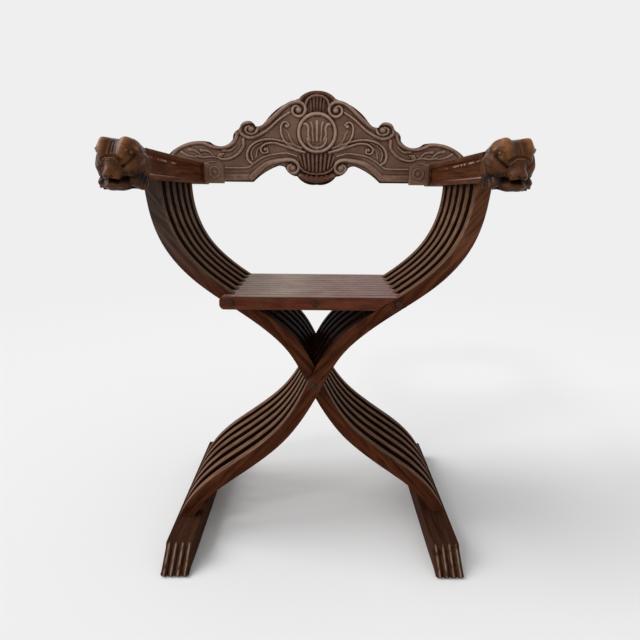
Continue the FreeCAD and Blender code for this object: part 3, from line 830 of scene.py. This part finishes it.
def carved_walnut(name, dark, ground, light, warm, roughness, sheen):
    """Carved walnut: hollows darkened by grime and painted shade, an even ground, and high spots lightened by
    rubbing and painted highlights.

    The piece's relief is 0 in a hollow, a half on the ground and 1 on a crest; its stain
    is 1 where the wood is darker and less rubbed.
    """
    material, tree, shader = new_material(name, roughness, sheen)
    place = add(tree, "ShaderNodeTexCoord").outputs["Object"]
    links = (("Vector", place), ("Turn", ALONG_X), ("Stretch", CARVED_STRETCH))
    grain = place_group(tree, "walnut grain", links)
    fine = noise(tree, place, 150.0, 6.0, 0.75)
    patchy = (fine - 0.5) * 0.42 + attribute(tree, "relief")
    stain = attribute(tree, "stain")
    warmth = noise(tree, place, 16.0, 3.0).ramp(0.44, 0.62)
    colour = mix_colour(tree, warmth * 0.65, ground, warm)
    olives = noise(tree, place, 27.0, 2.0).ramp(0.56, 0.72)
    colour = mix_colour(tree, olives * 0.6, colour, tint(warm, OLIVE_SHARES))
    colour = mix_colour(tree, stain * 0.8, colour, tint(warm, STAIN_SHARES))
    # Hollows darker and high spots lighter by the relief: grime and rubbing with painted shade and highlights
    colour = mix_colour(tree, patchy.ramp(0.07, 0.43), dark, colour)
    colour = mix_colour(tree, patchy.ramp(0.56, 1.0) * (1.0 - stain * 0.55), colour, light)
    colour = mix_colour(tree, grain["Pores"] * 0.35, colour, dark)
    plug(tree, colour, shader.inputs["Base Color"])
    plug(tree, (roughness + 0.10) - patchy.ramp(0.4, 0.9) * 0.12, shader.inputs["Roughness"])
    add_bump(tree, shader, fine * 0.6 + grain["Grain"], 0.4, 0.4 * MM)
    return material


def iron(name):
    """Dark iron of the rod ends, pitted and a little rubbed."""
    material, tree, shader = new_material(name, 0.42, SHEEN["plain"])
    place = add(tree, "ShaderNodeTexCoord").outputs["Object"]
    pits = noise(tree, place, 700.0, 4.0)
    colour = mix_colour(tree, pits.ramp(0.35, 0.7), MARK_AND_LIGHT_COLOURS["iron_dark"], MARK_AND_LIGHT_COLOURS["iron_light"])
    plug(tree, colour, shader.inputs["Base Color"])
    shader.inputs["Metallic"].default_value = 0.25
    plug(tree, pits * 0.3 + 0.28, shader.inputs["Roughness"])
    add_bump(tree, shader, pits, 0.3, 0.2 * MM)
    return material


def dress(node, material):
    """Gives a carried-over node its finish in every slot."""
    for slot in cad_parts[node].material_slots:
        slot.material = material


class CHAIR_OT_ribs(bpy.types.Operator):
    """Finish the curved ribs in dark waxed walnut."""

    bl_idname = "chair.ribs"
    bl_label = "Ribs"

    def execute(self, context):
        wood = context.scene.chair_wood
        for side, name in SIDES:
            turn = (0.0, -side * RIB_GRAIN_TURN, 0.0)
            for row in ROWS:
                shaded_faces = {ROWS[0]: "rear", ROWS[-1]: "front"}.get(row, "both")
                dress(f"rib_{name}_{row}", walnut(
                    f"rib wood {name} {row}", wood.rib_dark, wood.rib_light, wood.gloss, turn, wear=0.2,
                    shift=0.37 * row + 0.11 * side, sheen=SHEEN["waxed"], rubbed=rib_edges_and_shade, shaded_faces=shaded_faces))
        return {"FINISHED"}


class CHAIR_OT_slats(bpy.types.Operator):
    """Finish the seat slats, polished by use, with worn tops and a painted sheen."""

    bl_idname = "chair.slats"
    bl_label = "Seat slats"

    def execute(self, context):
        wood = context.scene.chair_wood
        light = tint(wood.rib_light, SLAT_SHARES)
        for side, name in SIDES:
            for row in ROWS:
                dress(f"slat_{name}_{row}", walnut(
                    f"slat wood {name} {row}", wood.rib_dark, light, wood.gloss - SEAT_POLISH, ALONG_X,
                    wear=0.12, shift=0.53 * row + 0.17 * side, sheen=SHEEN["seat"], rubbed=seat_top_wear_and_sheen))
        return {"FINISHED"}


class CHAIR_OT_arms(bpy.types.Operator):
    """Finish the arms with their panelled inner faces."""

    bl_idname = "chair.arms"
    bl_label = "Arms"

    def execute(self, context):
        wood = context.scene.chair_wood
        for side, name in SIDES:
            light = tint(wood.rib_light, ARM_TONE_AND_LIGHT[side])
            arm = walnut(f"arm wood {name}", wood.rib_dark, light, wood.gloss, ALONG_Y, wear=0.2,
                         shift=0.7 * side, sheen=SHEEN["arm"], rubbed=arm_dashes_and_ledge_highlight)
            dress(f"arm_{name}", arm)
            dress(f"head_dowels_{name}", arm)
        return {"FINISHED"}


def quarter_turns(count):
    """Angles of a quarter circle, its first one left out."""
    return np.linspace(0.0, QUARTER, count + 1)[1:]


class CHAIR_OT_feet(bpy.types.Operator):
    """Carve the sledge feet: a side outline carried across, with four round toes at the front."""

    bl_idname = "chair.feet"
    bl_label = "Feet"

    def execute(self, context):
        wood = context.scene.chair_wood
        light = tint(wood.rib_light, FOOT_SHARES)
        for side, name in SIDES:
            piece = self.foot(side, name)
            piece.data.materials.append(walnut(
                f"foot wood {name}", wood.rib_dark, light, wood.gloss, ALONG_Y, wear=0.6, shift=0.9 * side,
                sheen=SHEEN["waxed"], rubbed=claw_highlights, worn=MARK_AND_LIGHT_COLOURS["foot_edge"]))
            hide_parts(f"foot_{name}")
        return {"FINISHED"}

    def side_outline(self):
        """Outline of a foot from its side, back and up in metres, and how far each point is claw."""
        low, high = FOOT_BOX
        rear = high[1]
        top = high[2]
        tip = np.array((low[1], TOE_TIP))
        slope_top = np.array((CLAW_REAR, top))
        slope = slope_top + (tip - slope_top) * np.linspace(0.0, 1.0, 46)[1:, None]
        angles = quarter_turns(13)
        blunt = tip + TOE_TIP * np.stack((1.0 - np.cos(angles), -np.sin(angles)), axis=1)
        under = np.stack((np.linspace(blunt[-1, 0], rear, 60)[1:], np.zeros(59)), axis=1)
        heel = np.array([(rear, top - FOOT_RIM)])
        angles = quarter_turns(9)
        round_heel = FOOT_RIM * np.stack((np.cos(angles), np.sin(angles)), axis=1)
        rim = round_heel + (rear - FOOT_RIM, top - FOOT_RIM)
        above = np.stack((np.linspace(rear - FOOT_RIM, CLAW_REAR, 60)[1:], np.full(59, top)), axis=1)
        line = np.concatenate((slope, blunt, under, heel, rim, above))
        claw = np.concatenate((
            smooth_step(np.arange(len(slope)), 0.0, 9.0),
            np.ones(len(blunt)),
            1.0 - smooth_step(np.arange(len(under)), 0.0, 10.0),
            np.zeros(len(heel) + len(rim) + len(above)),
        ))
        return line, claw[:, None]

    def foot(self, side, name):
        """One foot: each point moves inwards from the outline by the toes' round section.

        Behind the toes only the two edges are rounded off.
        """
        low, high = FOOT_BOX
        line, claw = self.side_outline()
        width = high[0] - low[0]
        share = np.linspace(0.0, 1.0, FOOT_COLUMNS)
        across = width * share
        ahead = np.roll(line, -1, axis=0) - np.roll(line, 1, axis=0)
        normal = unit(np.stack((ahead[:, 1], -ahead[:, 0]), axis=1))
        inward = line.mean(axis=0) - line
        normal = normal * np.sign((normal * inward).sum(axis=1))[:, None]
        toe = np.abs(2.0 * ((TOE_COUNT * share) % 1.0) - 1.0)
        toe[[0, -1]] = 1.0
        valley = TOE_VALLEY * (1.0 - np.sqrt(1.0 - 0.97 * toe ** 2))
        ridge = TOE_RIDGE * np.exp(-(toe / 0.14) ** 2)
        rounding = rounded_drop(np.minimum(across, width - across), FOOT_EDGE)
        depth = claw * np.maximum(valley - ridge, 0.0) + (1.0 - claw) * rounding
        moved = line[:, None, :] + normal[:, None, :] * depth[..., None]
        x = side * (low[0] + np.broadcast_to(across, depth.shape))
        points = np.stack((x, moved[..., 0], np.maximum(moved[..., 1], 0.0)), axis=-1).reshape(-1, 3)
        index = np.arange(depth.size).reshape(depth.shape)
        wrapped = np.concatenate((index, index[:1]))
        faces = [quads(wrapped)]
        for column in (0, -1):
            ring = wrapped[:, column]
            faces.append(strip(ring, np.full(len(ring), len(points))))
            points = np.concatenate((points, points[index[:, column]].mean(axis=0)[None]))
        piece = mesh_piece(f"sledge_foot_{name}", points, np.concatenate(faces), f"{OTHER_SIDE[name]}_frame")
        weld(piece, flat_axis=0)
        return piece


class CHAIR_OT_rods(bpy.types.Operator):
    """Finish the four rods and their caps in dark iron."""

    bl_idname = "chair.rods"
    bl_label = "Rods"

    def execute(self, context):
        metal = iron("rod iron")
        for name in ("pivot", "left_seat", "right_seat", "centre_seat"):
            dress(f"{name}_rod", metal)
            dress(f"{name}_rod_caps", metal)
        return {"FINISHED"}


def crest_edges(columns):
    """Lower and upper edge of the whole crest, as points that face each other.

    The points of the upper edge are evenly spaced along it, and each has its partner
    on the lower edge at about the same place across. The left half mirrors the right one.
    """
    low, high = BOARD_BOX
    top = along(edge_curve(CROWN_SHARES, TOP_EDGE_SHARES, low, high), columns)
    dense = edge_curve((0.0, 0.0), LOW_EDGE_SHARES, low, high)
    across = np.maximum.accumulate(top[:, 0]) + 1e-5 * np.arange(len(top))
    order = np.maximum.accumulate(dense[:, 0]) + 1e-6 * np.arange(len(dense))
    share = across * order[-1] / across[-1]
    bottom = np.stack([np.interp(share, order, dense[:, axis]) for axis in (0, 1)], axis=1)
    return [np.concatenate((edge[::-1] * (-1.0, 1.0), edge[1:])) for edge in (bottom, top)]


def crest_edge_gap(x, z, bottom, top):
    """Distance from each point of the grid to the outline of the board, in long runs."""
    line = np.concatenate((bottom, top[::-1], bottom[:1]))
    corners = np.concatenate((line[:-1:EDGE_STEP], line[-1:]))
    return line_distance(x, z, corners)[0]


class CHAIR_OT_crest(bpy.types.Operator):
    """Carve the crest board: a height over its ground at every point of a grid."""

    bl_idname = "chair.crest"
    bl_label = "Crest board"

    def execute(self, context):
        settings = context.scene.chair_crest
        wood = context.scene.chair_wood
        low, high = BOARD_BOX
        bottom, top = crest_edges(settings.columns)
        x, z = self.between(bottom, top, settings.rows)
        gap = crest_edge_gap(x, z, bottom, top)
        height = crest_height(x / MM, z / MM)
        y = low[1] + settings.depth - height * MM + rounded_drop(gap, settings.edge_round)
        front = np.stack((x, np.maximum(y, low[1] + SKIN), z), axis=-1).reshape(-1, 3)
        rear_x, rear_z = self.between(bottom, top, REAR_ROWS)
        rear = np.stack((rear_x, np.full(rear_x.shape, high[1] - SKIN), rear_z), axis=-1).reshape(-1, 3)
        faces = [grid_faces(settings.rows, len(top)), grid_faces(REAR_ROWS, len(top), len(front))[:, ::-1]]
        faces.extend(self.rim(settings.rows, len(top), len(front)))
        # Painted shade along the board's rounded edge
        outline = 0.34 * (1.0 - smooth_step(gap, 0.4 * MM, 3.6 * MM))
        relief = np.clip(relief_of(height, 6) - outline, 0.0, 1.0)
        crown, drop, foot = self.dark_fields(np.abs(x) / MM, z / MM)
        # Painted shade at the foot of the drop
        relief -= 0.20 * drop * foot
        values = {
            "relief": np.concatenate((relief.ravel(), np.full(len(rear), REAR_RELIEF))),
            "stain": np.concatenate((np.maximum(crown, drop).ravel(), np.zeros(len(rear)))),
        }
        piece = mesh_piece("crest_carving", np.concatenate((front, rear)), np.concatenate(faces),
                           "crest_board", values)
        piece.data.materials.append(carved_walnut(
            "crest wood", wood.carving_dark, wood.carving_ground, wood.carving_light, MARK_AND_LIGHT_COLOURS["crest_warm"],
            CARVED_GLOSS, SHEEN["carved"]))
        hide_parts("back_board")
        return {"FINISHED"}

    def between(self, bottom, top, rows):
        """Grid of straight runs from the lower to the upper edge, inside the board's height."""
        share = np.linspace(0.0, 1.0, rows)[:, None]
        x, z = (bottom[:, axis] * (1.0 - share) + top[:, axis] * share for axis in (0, 1))
        return x, np.minimum(z, BOARD_BOX[1][2])

    def dark_fields(self, across, up):
        """How far each point lies in the crown, in the drop and at the drop's foot, where painted shade goes,
        in millimetres.
        """
        crown = smooth_step(up, 822.0, 832.0) * (1.0 - smooth_step(across - 0.9 * (up - 832.0), 17.0, 23.0))
        crown = np.maximum(crown, smooth_step(up, 848.0, 856.0) * (1.0 - smooth_step(across, 36.0, 42.0)))
        drop = (1.0 - smooth_step(up, 734.0, 742.0)) * (1.0 - smooth_step(across, 38.0, 44.0))
        return crown, drop, 1.0 - smooth_step(up, 682.0, 692.0)

    def rim(self, rows, columns, start):
        """Quads that close the edge between the front and the rear grid."""
        lower = np.arange(columns)
        bands = [strip(start + lower, lower),
                 strip((rows - 1) * columns + lower, start + (REAR_ROWS - 1) * columns + lower)]
        cuts = np.round(np.linspace(0, rows - 1, REAR_ROWS)).astype(int)
        for column in (0, columns - 1):
            front = column + columns * np.arange(rows)
            rear = start + column + columns * np.arange(REAR_ROWS)
            for index in range(REAR_ROWS - 1):
                inner = front[cuts[index]:cuts[index + 1] + 1]
                bands.append(strip(inner, np.full(len(inner), rear[index])))
        return bands


# Strokes of a lion head's right half, in millimetres: out from its middle, forward
# from the arm, up from its axis. Each has its points, its half width and its rise.
HEAD_STROKES = (
    (((16, 40, 33), (16, 52, 31)), 9.0, 2.5),
    (((16, 56, 28), (16, 64, 16), (15, 66, 7)), 8.0, 7.0),
    (((26, 44, 25), (26, 52, 16)), 9.0, 5.0),
    (((0, 58, 33), (0, 66, 10)), 1.5, 0.9),
    (((4.6, 58, 33), (4.6, 66, 9)), 1.5, 0.9),
    (((2.3, 58, 33), (2.3, 66, 9)), 0.9, -0.7),
    (((0, 66, 3), (5, 66, 2.6), (9, 65, 0), (11.5, 64, -4)), 1.2, 2.4),
    (((0, 66, 0.6), (4.5, 66, 0.2), (7.5, 65, -2)), 0.8, 1.2),
    (((0, 66, 6), (6, 65, 5.5), (12, 62, 1)), 1.8, -2.4),
    (((0, 66, -3), (0, 66, -11)), 9.5, 11.0),
    (((0, 66, -12),), 5.5, 5.5),
    (((8, 66, -17), (9, 66, -22)), 5.5, 6.0),
    (((3.0, 66, -16.0),), 1.9, -3.8),
    (((0, 66, -17), (0, 66, -21)), 1.1, -2.5),
    (((27, 52, 9), (25, 56, 4), (20, 61, -2), (15, 64, -7)), 1.7, -3.0),
    (((28, 51, 11), (31, 42, 13)), 1.4, -1.8),
    (((25, 57, 11),), 3.4, -5.4),
    (((24.5, 57, 11.5),), 1.8, 4.8),
    (((29, 50, 15), (25, 57, 16), (20, 62, 13)), 1.3, 1.8),
    (((32, 38, 7), (29, 50, 1), (22, 60, -8)), 7.0, 4.5),
    (((31, 38, -9), (29, 50, -13)), 9.0, 3.0),
    (((0, 66, -26.5), (5, 66, -26.5)), 3.2, -11.0),
    (((14, 64, -26), (17, 62, -26.5)), 3.8, -9.5),
    (((5, 66, -26), (12, 64, -26)), 1.8, -3.5),
    (((19, 60, -24), (28, 50, -19)), 1.8, -3.0),
    (((12, 64, -16), (12.5, 64, -20)), 0.7, -1.2),
    (((15, 62, -15), (15.5, 62, -19)), 0.7, -1.2),
    (((18, 60, -14), (18.5, 60, -18)), 0.7, -1.2),
    (((0, 66, -30), (9, 63, -30), (16, 58, -29.5)), 2.2, 3.4),
    (((0, 62, -34), (8, 60, -34)), 12.0, 12.5),
    (((0, 48, -38), (12, 46, -37)), 11.0, 4.0),
    (((29, 54, -30), (30, 52, -33)), 6.2, 9.0),
    (((21, 52, -37), (22, 44, -38)), 3.0, -4.0),
    (((33, 12, 14), (34, 24, 8), (34, 34, 0)), 1.9, 1.8),
    (((33, 8, 3), (34, 14, -13), (32, 22, -30), (27, 27, -38)), 2.4, 4.2),
    (((34, 13, 5), (35, 20, -12), (33, 29, -29), (28, 34, -38)), 2.4, 4.2),
    (((34, 19, 6), (35, 27, -11), (33, 36, -28), (29, 41, -37)), 2.4, 4.2),
    (((34, 26, 5), (35, 34, -10), (33, 43, -26), (30, 47, -34)), 2.2, 3.8),
    (((30, 30, -35), (27, 38, -37)), 8.0, 9.5),
    (((27, 8, 31), (31, 18, 25), (33, 30, 16)), 2.0, 1.2),
    (((14, 8, 35), (18, 18, 34), (22, 30, 28)), 2.2, 1.0),
    (((0, 8, 35), (0, 24, 35)), 2.2, 1.0),
)
# The eye's place, the lifts, the middle and the half sizes are in millimetres
HEAD_EYE = (24.5, 57.0, 11.5)
HEAD_LIFTS = {LEFT: 0.0, RIGHT: 4.0}
HEAD_TURN = math.radians(9.0)
HEAD_MIDDLE = 32.0
HEAD_CHIN = 8.0
HEAD_HALVES = (33.0, 34.0, 33.0)
HEAD_POWER = 2.7
HEAD_NECK = 0.34
HEAD_CLOSER = 0.18


def line_distance_3d(points, line):
    """Least distance from each point to a line of short runs in space, or to one point."""
    if len(line) == 1:
        return np.linalg.norm(points - line[0], axis=-1)
    best = np.full(points.shape[:-1], np.inf)
    for start, end in zip(line[:-1], line[1:]):
        run = end - start
        share = np.clip((points - start) @ run / (run @ run), 0.0, 1.0)
        best = np.minimum(best, np.linalg.norm(points - start - share[..., None] * run, axis=-1))
    return best


def soft_limit(values, limit):
    """Leaves values alone up to nine tenths of a limit and bends them to stay inside it."""
    start = 0.9 * limit
    bend = limit - start
    over = np.maximum(np.abs(values) - start, 0.0)
    return np.sign(values) * (np.minimum(np.abs(values), start) + bend * (1.0 - np.exp(-over / bend)))


def block_radius(way):
    """Radius, in each direction, of the rounded box that a head is cut from."""
    shares = np.abs(way) / HEAD_HALVES
    return (shares ** HEAD_POWER).sum(axis=-1) ** (-1.0 / HEAD_POWER)


def on_block(points):
    """Points laid on the block, each along its own direction."""
    way = unit(points)
    return way * block_radius(way)[:, None]


class CHAIR_OT_heads(bpy.types.Operator):
    """Carve the lion heads: a radius in each direction from a centre."""

    bl_idname = "chair.heads"
    bl_label = "Lion heads"

    def execute(self, context):
        settings = context.scene.chair_head
        wood = context.scene.chair_wood
        material = carved_walnut(
            "head wood", MARK_AND_LIGHT_COLOURS["head_dark"], MARK_AND_LIGHT_COLOURS["head_ground"], MARK_AND_LIGHT_COLOURS["head_light"], wood.head_warm,
            HEAD_GLOSS, SHEEN["head"])
        for side, name in SIDES:
            piece = self.head(settings, side, name)
            piece.data.materials.append(material)
            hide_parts(f"lion_head_{name}")
        return {"FINISHED"}

    def directions(self, settings):
        """Directions from the centre, in rings from the nose to the arm."""
        rings = np.linspace(0.0, math.pi, settings.rings)[:, None]
        polar = rings - HEAD_CLOSER * np.sin(2.0 * rings)
        spokes = np.linspace(0.0, math.tau, settings.spokes, endpoint=False)[None, :]
        ahead = np.cos(polar) * np.ones_like(spokes)
        return np.stack((np.sin(polar) * np.cos(spokes), ahead, np.sin(polar) * np.sin(spokes)), axis=-1)

    def lift(self, folded):
        """Height of the carving over the block: strokes that fade with their distance."""
        lift = np.zeros(folded.shape[:-1])
        for points, half, rise in HEAD_STROKES:
            line = on_block(np.array(points, float) - (0.0, HEAD_MIDDLE, 0.0))
            if len(line) > 1:
                line = on_block(smooth_line(line, 8 * len(line)))
            gap = line_distance_3d(folded, line)
            lift = lift + rise * np.exp(-(gap / half) ** 2)
        return lift

    def placed(self, place, side, name):
        """Points of the head in the chair, from points round the middle of the block.

        The face is turned outwards about the upright line through that middle, and the
        back of the head is drawn in to the arm.
        """
        low, high = np.array(HEAD_BOXES[name])
        across = place[..., 0] * math.cos(HEAD_TURN) + side * place[..., 1] * math.sin(HEAD_TURN)
        ahead = place[..., 1] * math.cos(HEAD_TURN) - side * place[..., 0] * math.sin(HEAD_TURN)
        neck = 1.0 - HEAD_NECK * (1.0 - smooth_step(ahead, -31.0, 0.0))
        middle = (low + high) / 2
        reach = (high - low) / 2 - HEAD_SKIN
        up = place[..., 2] * neck * MM
        x = middle[0] + soft_limit(across * neck * MM, reach[0])
        chin = soft_limit(up, reach[2] + HEAD_CHIN * MM)
        z = middle[2] + np.where(up > 0.0, soft_limit(up, reach[2]), chin)
        z = z + HEAD_LIFTS[side] * MM * smooth_step(ahead, -24.0, 6.0)
        rear = HEAD_MIDDLE * MM
        front = high[1] - low[1] - rear - HEAD_SKIN
        y = high[1] - rear - np.maximum(soft_limit(ahead * MM, front), HEAD_SKIN - rear)
        return np.stack((x, y, z), axis=-1).reshape(-1, 3)

    def relief(self, place, folded, lift):
        """Relief of the carving, with painted light: lighter towards the top, painted shade on the jaw, the
        cheeks and round the eyes, and a painted highlight as a bright pupil on each eye.
        """
        up = place[..., 2]
        # Darker in hollows and lighter on high spots: grime and rubbing with painted shade and highlights
        relief = 0.25 + RELIEF_CONTRAST * (lift - box_blur(lift, 9)) + 0.008 * lift
        # Painted light from above: lighter towards the top, painted shade towards the jaw
        relief = relief + 0.38 * smooth_step(up, -22.0, 20.0)
        relief = relief * (0.52 + 0.48 * smooth_step(up, -31.0, -15.0))
        # Painted shade on the lower cheeks
        cheek = smooth_step(np.abs(place[..., 0]), 20.0, 27.0) * (1.0 - smooth_step(up, 2.0, 15.0))
        relief = relief * (1.0 - 0.2 * cheek)
        # Painted shade round the eye and a painted highlight on the eyeball
        eye = line_distance_3d(folded, on_block(np.array([HEAD_EYE]) - (0.0, HEAD_MIDDLE, 0.0)))
        relief = relief * (1.0 - 0.85 * np.exp(-(eye / 4.6) ** 2)) + 1.1 * np.exp(-(eye / 1.9) ** 2)
        return np.clip(relief, 0.0, 1.0)

    def head(self, settings, side, name):
        """One head: the block's surface, raised or cut by the strokes."""
        way = self.directions(settings)
        radius = block_radius(way)
        folded = way * radius[..., None]
        folded[..., 0] = np.abs(folded[..., 0])
        lift = self.lift(folded)
        place = way * (radius + lift)[..., None]
        index = np.arange(radius.size).reshape(radius.shape)
        wrapped = np.concatenate((index, index[:, :1]), axis=1)
        values = {"relief": self.relief(place, folded, lift)}
        piece = mesh_piece(f"carved_head_{name}", self.placed(place, side, name), quads(wrapped.T),
                           f"{name}_frame", values)
        weld(piece)
        return piece


class CHAIR_OT_rosettes(bpy.types.Operator):
    """Carve the rosette blocks inside the arms: a height over a square ground."""

    bl_idname = "chair.rosettes"
    bl_label = "Rosettes"

    def execute(self, context):
        wood = context.scene.chair_wood
        material = carved_walnut(
            "rosette wood", wood.carving_dark, wood.carving_ground, wood.carving_light,
            MARK_AND_LIGHT_COLOURS["rosette_warm"], CARVED_GLOSS, SHEEN["carved"])
        for side, name in SIDES:
            piece = self.rosette(side, name)
            piece.data.materials.append(material)
            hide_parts(f"rosette_{name}")
        return {"FINISHED"}

    def height(self, across, up):
        """Height over the ground: a ring round a button with six petals, in millimetres."""
        away = np.hypot(across, up)
        ring = half_round(np.abs(away - 12.0), 2.4, 2.4)
        button = half_round(away, 5.8, 3.2)
        petals = half_round(np.abs(away - 8.4), 2.0, 1.3) * (0.6 + 0.4 * np.cos(6.0 * np.arctan2(up, across)))
        height = np.maximum(np.maximum(ring, button), petals)
        return height - 0.7 * np.exp(-((away - 15.0) / 0.9) ** 2) - 0.7 * np.exp(-((away - 6.2) / 0.7) ** 2)

    def rosette(self, side, name):
        """One block: the flower on a square front with rounded edges."""
        low, high = ROSETTE_BOXES[name]
        share = np.linspace(0.0, 1.0, ROSETTE_COUNT)
        x, z = np.meshgrid(low[0] + (high[0] - low[0]) * share, low[2] + (high[2] - low[2]) * share)
        across = -side * (x - (low[0] + high[0]) / 2) / MM - ROSETTE_MIDDLE[0]
        up = (z - (low[2] + high[2]) / 2) / MM - ROSETTE_MIDDLE[1]
        height = self.height(across, up)
        gap = np.minimum(np.minimum(x - low[0], high[0] - x), np.minimum(z - low[2], high[2] - z))
        y = low[1] + ROSETTE_DEPTH - height * MM + rounded_drop(gap, ROSETTE_EDGE)
        front = np.stack((x, np.maximum(y, low[1] + ROSETTE_SKIN), z), axis=-1).reshape(-1, 3)
        rear = np.stack((x, np.full(x.shape, high[1]), z), axis=-1).reshape(-1, 3)
        count = len(front)
        faces = [grid_faces(*x.shape), grid_faces(*x.shape, count)[:, ::-1]]
        index = np.arange(count).reshape(x.shape)
        for rim in (index[0], index[-1][::-1], index[::-1, 0], index[:, -1]):
            faces.append(strip(rim + count, rim))
        relief = np.clip(relief_of(height, 8), 0.0, 1.0)
        values = {"relief": np.concatenate((relief.ravel(), np.full(count, GROUND_RELIEF)))}
        piece = mesh_piece(f"carved_rosette_{name}", np.concatenate((front, rear)), np.concatenate(faces),
                           f"{name}_frame", values)
        weld(piece)
        return piece


class CHAIR_OT_stage(bpy.types.Operator):
    """Floor, backdrop, lights and the photograph's camera."""

    bl_idname = "chair.stage"
    bl_label = "Stage"

    def execute(self, context):
        settings = context.scene.chair_stage
        self.floor(settings)
        self.sky(settings)
        self.lamps(settings)
        self.camera(context, settings)
        context.scene.view_settings.view_transform = "Standard"
        return {"FINISHED"}

    def floor(self, settings):
        """Wide pale floor, as light as the sky behind it and lighter round the chair as painted light against
        its shade, and clear above what lies under it.
        """
        across = np.linspace(-FLOOR_HALF, FLOOR_HALF, FLOOR_COUNT)
        x, y = np.meshgrid(across, across)
        points = np.stack((x, y, np.zeros_like(x)), axis=-1).reshape(-1, 3)
        mesh = bpy.data.meshes.new("floor")
        mesh.from_pydata(points.tolist(), [], grid_faces(*x.shape).tolist())
        floor = bpy.data.objects.new("floor", mesh)
        bpy.context.scene.collection.objects.link(floor)
        material, tree, shader = new_material("studio floor", 0.9, 0.0)
        place = add(tree, "ShaderNodeTexCoord").outputs["Object"]
        away = add(tree, "ShaderNodeVectorMath", ((0, place),), operation="LENGTH").outputs["Value"]
        near = 1.0 - Signal(tree, away).ramp(*FLOOR_FADE)
        # Painted light: the floor is lighter round the chair
        colour = mix_colour(tree, near, [settings.white] * 3, [settings.near_white_painted_light] * 3)
        plug(tree, colour, shader.inputs["Base Color"])
        below = add(tree, "ShaderNodeAmbientOcclusion", (("Distance", FLOOR_SIGHT),), inside=True, samples=16)
        plug(tree, Signal(tree, below.outputs["AO"]).ramp(0.94, 0.999), shader.inputs["Alpha"])
        mesh.materials.append(material)

    def sky(self, settings):
        """Even sky that lights the scene with one strength and is seen with another."""
        world = bpy.data.worlds.new("sky")
        world.use_nodes = True
        tree = world.node_tree
        dome = tree.nodes["Background"]
        plug(tree, (1.0, 1.0, 1.0, 1.0), dome.inputs["Color"])
        plug(tree, settings.sky, dome.inputs["Strength"])
        white = (*[settings.white] * 3, 1.0)
        seen = add(tree, "ShaderNodeBackground", (("Color", white), ("Strength", 1.0)))
        path = add(tree, "ShaderNodeLightPath").outputs
        straight = math_node(tree, "MAXIMUM", path["Is Camera Ray"], path["Is Transmission Ray"])
        straight = straight.highest(path["Is Glossy Ray"])
        mix = add(tree, "ShaderNodeMixShader", ((0, straight), (1, dome.outputs[0]), (2, seen.outputs[0])))
        plug(tree, mix.outputs[0], tree.nodes["World Output"].inputs["Surface"])
        bpy.context.scene.world = world

    def lamps(self, settings):
        """One soft main light from the upper left and a smaller, sharper one from the front left."""
        for name, share, angle, way in LAMPS:
            light = bpy.data.lights.new(name, "SUN")
            light.energy = settings.sun * share
            light.angle = math.radians(angle)
            lamp = bpy.data.objects.new(name, light)
            lamp.rotation_euler = Vector(way).to_track_quat("Z", "Y").to_euler()
            bpy.context.scene.collection.objects.link(lamp)

    def camera(self, context, settings):
        """The photograph's camera, rolled about its own line of sight."""
        camera = bpy.data.cameras.new("camera")
        camera.lens = settings.focal
        camera.sensor_width = 36.0
        camera.shift_y = settings.rise
        holder = bpy.data.objects.new("camera", camera)
        pitch, turn, roll = settings.aim
        place = Matrix.Translation(settings.eye)
        for angle, axis in ((turn, "Z"), (QUARTER - pitch, "X"), (roll, "Z")):
            place = place @ Matrix.Rotation(angle, 4, axis)
        holder.matrix_world = place
        context.scene.collection.objects.link(holder)
        context.scene.camera = holder


class CHAIR_PT_panel(bpy.types.Panel):
    """Lists the pieces of the chair in the sidebar."""

    bl_idname = "CHAIR_PT_panel"
    bl_label = "Armchair"
    bl_space_type = "VIEW_3D"
    bl_region_type = "UI"
    bl_category = "Armchair"

    def draw(self, context):
        for operator in OPERATORS:
            self.layout.operator(operator.bl_idname)


SETTINGS = (("chair_wood", WoodSettings), ("chair_crest", CrestSettings), ("chair_head", HeadSettings),
            ("chair_stage", StageSettings))
OPERATORS = (CHAIR_OT_ribs, CHAIR_OT_slats, CHAIR_OT_arms, CHAIR_OT_feet, CHAIR_OT_rods, CHAIR_OT_crest,
             CHAIR_OT_heads, CHAIR_OT_rosettes, CHAIR_OT_stage)


def register():
    """Adds the settings, the operators and the panel."""
    for name, group in SETTINGS:
        bpy.utils.register_class(group)
        setattr(bpy.types.Scene, name, bpy.props.PointerProperty(type=group))
    for kind in (*OPERATORS, CHAIR_PT_panel):
        bpy.utils.register_class(kind)


def unregister():
    """Takes away what register adds."""
    for kind in (CHAIR_PT_panel, *reversed(OPERATORS)):
        bpy.utils.unregister_class(kind)
    for name, group in reversed(SETTINGS):
        delattr(bpy.types.Scene, name)
        bpy.utils.unregister_class(group)


def main():
    """Registers the add-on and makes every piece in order."""
    register()
    for operator in OPERATORS:
        name = operator.bl_idname.split(".")[1]
        getattr(bpy.ops.chair, name)()


if __name__ == "__main__":
    main()
